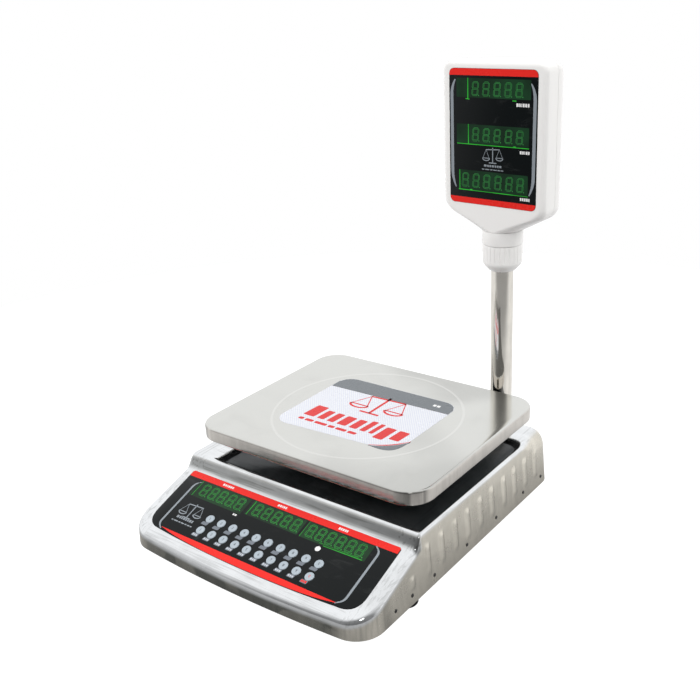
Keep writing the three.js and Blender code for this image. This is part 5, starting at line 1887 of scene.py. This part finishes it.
@dataclass
class DisplayHead:
    """White housing that narrows to a round collar, with a printed film and three windows."""

    half_width: float = 64.5
    neck: float = 22.8
    neck_z: float = 294.8
    shoulder_z: float = 317.0
    top: float = 476.8
    front: float = -22.7
    rear: float = 19.75
    side_round: float = 11.0
    front_round: float = 5.0
    rear_round: float = 14.0
    front_corner: float = 5.5
    rear_corner: float = 14.0
    wall: float = 2.5
    seam: float = 0.15
    film_x: Span = (-54.65, 54.65)
    film_z: Span = (324.8, 469.5)
    film_face: float = 0.3                  # the film's face over its frame's plane
    hole_margin: float = 0.6
    blend_top: float = 332.0                # height at which the neck has become the housing
    collar_foot: float = 278.5

    def stations(self) -> tuple[Array, Array]:
        """Half widths and heights of the cross sections.

        From the neck along the slanted shoulder, round its corner, up the sides, and over the
        top where the half width shrinks by r (1 - cos t) at height top - R (1 - sin t).
        """
        corners = np.array([[self.neck, self.neck_z], [self.half_width - 0.3, self.shoulder_z],
                            [self.half_width, self.top - self.rear_round]])
        line = softened(corners, np.array([0.0, 9.0, 0.0]), 12, closed=False)
        slant = line[0] + (line[1] - line[0]) * np.linspace(0.0, 1.0, 12)[:-1, None]
        sides = line[-2] + (line[-1] - line[-2]) * np.linspace(0.0, 1.0, 12)[1:, None]
        rise = self.rear_round * np.sin(np.linspace(0.0, math.pi / 2.0, 15)[1:])
        heights = self.top - self.rear_round + rise
        over = np.clip(heights - (self.top - self.side_round), 0.0, self.side_round)
        width = self.half_width - self.side_round + np.sqrt(self.side_round ** 2 - over ** 2)
        path = np.concatenate([slant, line[1:-1], sides, np.stack([width, heights], -1)])
        return path[:, 0], path[:, 1]

    def half_rings(self, front: bool) -> Array:
        """Rings of one half shell, from its right edge round to its left.

        Each cross section is a rounded rectangle whose corner radius falls from the neck's to
        the housing's while the section rises, so that the neck is round and the body square.
        """
        width, z = self.stations()
        blend = smooth_step(z, self.neck_z, self.blend_top)
        depth_end = self.front if front else self.rear
        corner_end = self.front_corner if front else self.rear_corner
        curve = self.front_round if front else self.rear_round
        over = np.clip(z - (self.top - curve), 0.0, curve)
        sign = -1.0 if front else 1.0
        depth = self.neck + (abs(depth_end) - self.neck) * blend
        depth = depth - curve + np.sqrt(curve ** 2 - over ** 2)
        radius = (self.neck - 0.5) + (corner_end - self.neck + 0.5) * blend
        radius = np.minimum(radius, np.minimum(width, depth) - 0.4)
        turn = np.linspace(0.0, math.pi / 2.0, 13)
        edge = self.seam
        rows = []
        for w, d, r in zip(width, depth, radius):
            corner = np.stack([w - r + r * np.cos(turn), d - r + r * np.sin(turn)], -1)
            flank = np.stack([np.full(3, w), np.linspace(edge, d - r, 4)[:-1]], -1)
            face = np.stack([np.linspace(w - r, 0.0, 9)[1:], np.full(8, d)], -1)
            half = np.concatenate([flank, corner, face])
            rows.append(np.concatenate([half, (half * np.array([-1.0, 1.0]))[-2::-1]]))
        plan = np.stack(rows) * np.array([1.0, sign])
        rings = raised(plan, z[:, None])
        return rings[:, ::-1] if front else rings

    def shell(self, front: bool) -> Surface:
        """Outer face of one half: a strip of the rings with the flat top closed."""
        rings = self.half_rings(front)
        rows, columns = rings.shape[:2]
        index = np.arange(rows * columns).reshape(rows, columns)
        quads = np.stack([index[:-1, :-1], index[:-1, 1:], index[1:, 1:], index[1:, :-1]], -1)
        faces = quads.reshape(-1, 4).tolist() + [index[-1].tolist()]
        return Surface(rings.reshape(-1, 3), faces)

    def window_cuts(self) -> Surface:
        """Openings of the front half behind the three windows."""
        levels = [standing(f"head_display_{name}")[1:] for name in FIGURE_ROWS]
        return Surface.joined([box_between((-47.0, -40.0, foot - self.hole_margin),
                                           (45.0, -10.0, head + self.hole_margin))
                               for foot, head in levels])

    def housing(self, look: Wardrobe) -> None:
        """Front and rear half shells, with a thin seam between them."""
        front = self.shell(True).placed(HEAD_FRAME)
        make_piece("head_housing_front", [Part(front, look.white)], "display_head",
                   ["head_front_shell"],
                   Craft(wall=self.wall, cut=self.window_cuts().placed(HEAD_FRAME), smooth=40.0))
        rear = self.shell(False).placed(HEAD_FRAME)
        make_piece("head_housing_rear", [Part(rear, look.white)], "display_head",
                   ["head_rear_shell"], Craft(wall=self.wall, smooth=40.0))

    def collar(self, look: Wardrobe) -> None:
        """Round collar under the housing with its spigot inside the nut."""
        _, z0, z1 = standing("head_collar")
        bore, spigot, r, step = BORE, 17.0, self.neck, self.collar_foot
        profile = softened(np.array([[bore, z0], [spigot, z0], [spigot, step], [r, step],
                                     [r, z1], [bore, z1]]),
                           np.array([0.4, 0.4, 0.2, 0.9, 0.25, 0.3]), 5)
        make_piece("head_neck_collar",
                   [Part(turned(profile, 96, POLE_AT, looped=True), look.white)],
                   "display_head", ["head_collar"])

    def film(self, look: Wardrobe) -> None:
        """Film of the head, and what is printed on it."""
        outline = rounded_rectangle(self.film_x, self.film_z, 6.0, 9)
        sheet = cushioned_plate(outline, -0.1, self.film_face, 0.12)
        low, high = self.film_face - SUNK, self.film_face + PRINT
        (x0, x1), (z0, z1) = self.film_x, self.film_z
        inset = 0.25
        top = softened(np.array([[x0 + inset, 462.2], [x1 - inset, 462.2],
                                 [x1 - inset, z1 - inset], [x0 + inset, z1 - inset]]),
                       np.array([0.0, 0.0, 5.8, 5.8]), 9)
        foot = softened(np.array([[x0 + inset, z0 + inset], [x1 - inset, z0 + inset],
                                  [x1 - inset, 331.6], [x0 + inset, 331.6]]),
                        np.array([5.8, 5.8, 0.0, 0.0]), 9)
        reds = Surface.joined([plates(tidy_outline(strip), low, high) for strip in (top, foot)])
        left = softened(np.array([[-46.8, 457.8], [-51.2, 450.5], [-51.0, 352.0],
                                  [-46.4, 341.8]]), np.array([0.0, 8.0, 9.0, 0.0]), 10, False)
        right = softened(np.array([[46.6, 455.8], [51.4, 447.5], [51.0, 351.0],
                                   [46.2, 340.8]]), np.array([0.0, 8.0, 9.0, 0.0]), 10, False)
        width = 1.0 + 2.8 * np.sin(np.linspace(0.06, math.pi - 0.06, len(left)))
        greys = Surface.joined([stroke(path, width, low, high) for path in (left, right)])
        captions = np.concatenate([
            caption((29.4, 44.8), (432.2, 435.6), (1.2, 0.8, 0.4, 1.0, 1.0, 0.9)),
            caption((34.4, 46.0), (384.0, 387.2), (1.0, 0.9, 0.4, 1.0, 0.8)),
            caption((35.5, 47.2), (334.6, 337.8), (0.9, 1.0, 0.9, 1.0, 0.8))])
        whites = plates(captions, low, high)
        mark = balance_mark((1.0, 380.0), 9.5, 0.75, low, high)
        row = plates(np.concatenate([
            caption((-10.0, 12.0), (367.4, 369.6), (1.2, 0.8, 0.8, 1.0, 0.8, 0.7, 1.0)),
            caption((-12.5, 14.5), (364.0, 365.0), (1.0, 2.0, 1.0, 1.6, 1.0, 1.2))]), low, high)
        parts = [Part(reds, look.red), Part(greys, look.grey_ink), Part(whites, look.white_ink),
                 Part(Surface.joined([mark, row]), look.grey_ink)]
        make_piece("head_film_sheet", placed_parts([Part(sheet, look.film)], head_face()),
                   "display_head", ["head_film"])
        make_piece("head_prints", placed_parts(parts, head_face()), "display_head")

    def displays(self) -> dict[str, DisplayWindow]:
        """The three windows: weight, price and total."""
        return {
            "weight": DisplayWindow(
                (-45.2, 46.5), (439.4, 459.4),
                Figures((-21.3, -7.8, 5.8, 19.2, 32.6), 441.2, 456.2, 8.4, 1.75),
                ((-30.6, 438.0, -30.6, 459.6, 1.0), (-33.5, 438.0, -28.5, 437.6, 0.7),
                 (24.6, 437.9, 29.2, 437.9, 1.0))),
            "price": DisplayWindow(
                (-45.2, 45.0), (391.0, 411.4),
                Figures((-20.8, -7.4, 6.3, 20.3, 33.8), 393.6, 408.2, 8.4, 1.75),
                ((-30.0, 390.2, -30.0, 411.4, 1.0), (-44.8, 390.2, 45.2, 390.2, 0.8),
                 (26.4, 390.9, 29.4, 390.9, 1.1))),
            "total": DisplayWindow(
                (-43.2, 44.6), (340.6, 361.8),
                Figures((-34.2, -20.3, -6.6, 7.8, 21.7, 35.3), 343.2, 358.8, 8.6, 1.75),
                ((-41.6, 340.4, -41.6, 361.6, 0.6), (-43.0, 339.8, 45.2, 339.8, 0.8),
                 (-28.0, 340.6, -25.0, 340.6, 0.9)))}

    def build(self, look: Wardrobe) -> None:
        """Makes the head."""
        self.housing(look)
        self.collar(look)
        self.film(look)
        for name, window in self.displays().items():
            layers = window.layers(look.window_dim, look.segment_dim, look.heart,
                                   look.edge_light, self.film_face, 0.42)
            make_piece(f"head_figures_{name}", placed_parts(layers, head_face()),
                       "display_head")


def tidy_outline(outline: Array) -> Array:
    """Outline without the points that repeat the one before them."""
    step = np.linalg.norm(outline - np.roll(outline, 1, 0), axis=1)
    return outline[step > 1e-6]


@dataclass
class ClampNut:
    """White clamp nut: a short cone under a grooved cylinder."""

    thread: float = 17.3
    step: float = 256.4                     # foot of the threaded part
    radius: float = 22.5
    shoulder: float = 256.0
    foot: float = 2.5                       # how far its lower end is above the CAD one
    flutes: int = 26
    depth: float = 0.5

    def build(self, look: Wardrobe) -> None:
        """The radius of the grooved part is R less the depth in narrow dips round the turn."""
        _, z0, z1 = standing("clamp_nut")
        z0 += self.foot
        outer = softened(np.array([[BORE + 0.2, z0], [BORE + 2.2, z0],
                                   [self.radius, self.shoulder], [self.radius, z1]]),
                         np.array([0.0, 0.8, 3.0, 0.0]), 7, closed=False)
        rise = outer[-2] + (outer[-1] - outer[-2]) * np.linspace(0.0, 1.0, 10)[1:, None]
        rise[-1, 0] -= 0.4
        inner = np.array([[self.thread, z1], [self.thread, self.step], [BORE, self.step],
                          [BORE, z0 + 0.3]])
        profile = np.concatenate([outer[:-1], rise, inner])
        turn = np.linspace(0.0, 2.0 * math.pi, 312, endpoint=False)
        dip = np.clip(np.cos(turn * self.flutes), 0.0, 1.0) ** 6
        on_wall = smooth_step(profile[:, 1], self.shoulder + 1.0, self.shoulder + 3.5)
        on_wall = on_wall * (1.0 - smooth_step(profile[:, 1], z1 - 1.8, z1 - 0.4))
        on_wall[len(profile) - len(inner):] = 0.0
        radius = profile[:, :1] - self.depth * on_wall[:, None] * dip[None]
        circle = np.stack([np.cos(turn), np.sin(turn)], -1)
        plan = radius[..., None] * circle[None] + np.array(POLE_AT)
        surface = skin(raised(plan, profile[:, 1:]), looped=True)
        make_piece("clamp_nut_grip", [Part(surface, look.white)], "clamp_nut",
                   ["clamp_nut"])


# ---- Studio ----

@dataclass(frozen=True)
class SoftBox:
    """A rectangular area light that looks at a point."""

    name: str
    at: Triple
    target: Triple
    size: tuple[float, float]
    power: float
    mirrored: bool = False


@dataclass
class Studio:
    """Pale floor, light from around, and the camera."""

    floor_radius: float = 1.05
    floor_light: float = 1.0     # light of the floor itself
    floor_sheen: float = 0.62    # what polished metal picks up of it behind the scale
    floor_far: float = 0.03      # and of its far end towards the viewer
    floor_fade: Span = (-60.0, 420.0)
    floor_tone: float = 0.22
    streak_shade: float = 0.8    # tone of the floor's patches, as a share
    footprint: Triple = (158.0, 186.0, 19.0)  # the scale's half width, half length and -y
    contact: Span = (-10.0, 150.0)            # distance from it over which its shade ends
    # tone of the painted contact shadow in the floor's glow
    contact_shadow_tone: float = 0.10
    clouds: Pattern = Pattern(3.0)
    streaks: Pattern = Pattern(7.0, shown=(0.35, 0.65))
    viewer: Triple = (0.45, -0.89, -0.05)     # direction towards the viewer
    room: tuple[Span, ...] = ((0.0, 0.98), (0.48, 0.96), (0.62, 0.68), (0.78, 0.24), (1.0, 0.16))
    camera_at: Triple = (0.57599, -0.72417, 0.56632)
    yaw: float = 38.40
    pitch: float = 21.90
    roll: float = -3.16
    lens: float = 47.845
    boxes: tuple[SoftBox, ...] = (
        SoftBox("key_light", (-0.5, -1.5, 1.5), (0.0, 0.0, 0.25), (0.9, 0.9), 26.0),
        SoftBox("fill_light", (1.7, 0.1, 1.2), (0.05, 0.1, 0.25), (0.8, 1.0), 14.0),
        SoftBox("rear_light", (0.2, 1.6, 1.5), (0.0, 0.1, 0.2), (1.4, 0.7), 7.0),
        SoftBox("glint_light", (0.9, -1.2, 1.5), (0.1, 0.1, 0.3), (0.35, 0.35), 1.6, True))

    def floor(self) -> None:
        """A pale disc that glows: evenly white to the camera; what other rays see of it has a
        painted contact shadow round the scale, a fade and patches.
        """
        disc_surface = Surface(raised(disc(0.0, 0.0, self.floor_radius / MM, 96), 0.0),
                               [list(range(96))])
        graph = Graph("studio_floor")
        clouds, streaks = graph.pattern(self.clouds), graph.pattern(self.streaks)
        seen = graph.node("ShaderNodeLightPath", {}, {})["Is Camera Ray"]
        x, y = graph.axis("X"), graph.axis("Y")
        far = (x * self.viewer[0] + y * self.viewer[1]).ramp(*self.floor_fade)
        behind = graph.blend(streaks, (self.floor_sheen * self.streak_shade,) * 3,
                             (self.floor_sheen,) * 3)
        sheen = graph.blend(far, behind, (self.floor_far,) * 3)
        # Painted contact shadow: the glow that other rays see falls off towards the scale's
        # footprint.
        gap_x = x.math("ABSOLUTE") - self.footprint[0]
        gap_y = (y + self.footprint[2]).math("ABSOLUTE") - self.footprint[1]
        under = gap_x.math("MAXIMUM", gap_y).ramp(*self.contact)
        sheen = graph.blend(under, (self.contact_shadow_tone,) * 3, sheen)
        glow = graph.blend(seen, sheen, (self.floor_light,) * 3)
        graph.finish(Base_Color=(self.floor_tone,) * 3, Roughness=clouds * 0.1 + 0.6,
                     Emission_Color=glow, Emission_Strength=1.0)
        mesh_object("studio_floor", [Part(disc_surface, graph.material)])

    def lights(self) -> None:
        """Soft boxes around the scale."""
        for box in self.boxes:
            light = bpy.data.lights.new(box.name, "AREA")
            light.shape, light.energy = "RECTANGLE", box.power
            light.size, light.size_y = box.size
            holder = bpy.data.objects.new(box.name, light)
            holder.location = box.at
            holder.visible_glossy = box.mirrored
            aim = Vector(box.target) - Vector(box.at)
            holder.rotation_euler = aim.to_track_quat("-Z", "Y").to_euler()
            bpy.context.scene.collection.objects.link(holder)

    def surroundings(self) -> None:
        """White all round, with a darker room behind the viewer that polished metal reflects."""
        world = bpy.data.worlds.new("studio_light")
        world.use_nodes = True
        bpy.context.scene.world = world
        tree = world.node_tree
        background = tree.nodes["Background"]
        place = tree.nodes.new("ShaderNodeTexCoord").outputs["Generated"]
        facing = tree.nodes.new("ShaderNodeVectorMath")
        facing.operation = "DOT_PRODUCT"
        facing.inputs[1].default_value = self.viewer
        tree.links.new(place, facing.inputs[0])
        ramp = tree.nodes.new("ShaderNodeValToRGB")
        ramp.color_ramp.interpolation = "EASE"
        while len(ramp.color_ramp.elements) < len(self.room):
            ramp.color_ramp.elements.new(0.5)
        for element, (position, level) in zip(ramp.color_ramp.elements, self.room):
            element.position, element.color = position, (level, level, level, 1.0)
        half = tree.nodes.new("ShaderNodeMapRange")
        half.inputs["From Min"].default_value = -1.0
        tree.links.new(facing.outputs["Value"], half.inputs["Value"])
        tree.links.new(half.outputs["Result"], ramp.inputs["Fac"])
        path = tree.nodes.new("ShaderNodeLightPath")
        choice = tree.nodes.new("ShaderNodeMix")
        choice.data_type = "RGBA"
        picked = [socket for socket in choice.inputs if socket.enabled]
        tree.links.new(path.outputs["Is Camera Ray"], picked[0])
        tree.links.new(ramp.outputs["Color"], picked[1])
        picked[2].default_value = (1.0, 1.0, 1.0, 1.0)
        result = [socket for socket in choice.outputs if socket.enabled][0]
        tree.links.new(result, background.inputs["Color"])
        background.inputs["Strength"].default_value = 1.0

    def camera(self) -> None:
        """Camera from its place and its three angles."""
        yaw, pitch, roll = (math.radians(a) for a in (self.yaw, self.pitch, self.roll))
        ahead = Vector((-math.sin(yaw) * math.cos(pitch), math.cos(yaw) * math.cos(pitch),
                        -math.sin(pitch)))
        right = Vector((math.cos(yaw), math.sin(yaw), 0.0))
        up = right.cross(ahead)
        level = math.cos(roll) * right + math.sin(roll) * up
        upright = -math.sin(roll) * right + math.cos(roll) * up
        data = bpy.data.cameras.new("camera")
        data.lens, data.sensor_width, data.clip_start = self.lens, 36.0, 0.01
        camera = bpy.data.objects.new("camera", data)
        camera.matrix_world = Matrix((
            (level.x, upright.x, -ahead.x, self.camera_at[0]),
            (level.y, upright.y, -ahead.y, self.camera_at[1]),
            (level.z, upright.z, -ahead.z, self.camera_at[2]), (0.0, 0.0, 0.0, 1.0)))
        bpy.context.scene.collection.objects.link(camera)
        bpy.context.scene.camera = camera

    def build(self) -> None:
        """Sets up the studio."""
        self.camera()
        self.floor()
        self.lights()
        self.surroundings()
        bpy.context.scene.view_settings.view_transform = "Standard"


# ---- The whole scale ----


def main() -> None:
    """Builds the scale on its frame."""
    logging.basicConfig(level=logging.INFO, format="%(name)s: %(message)s")
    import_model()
    Studio().build()
    look = Wardrobe()
    panel = OperatorPanel()
    BodyShell().build(look, panel.window_holes(), panel.keypad())
    for piece in (panel, Platter(), Underpinning(), RearFittings(), DisplayHead(), ClampNut()):
        piece.build(look)


if __name__ == "__main__":
    main()
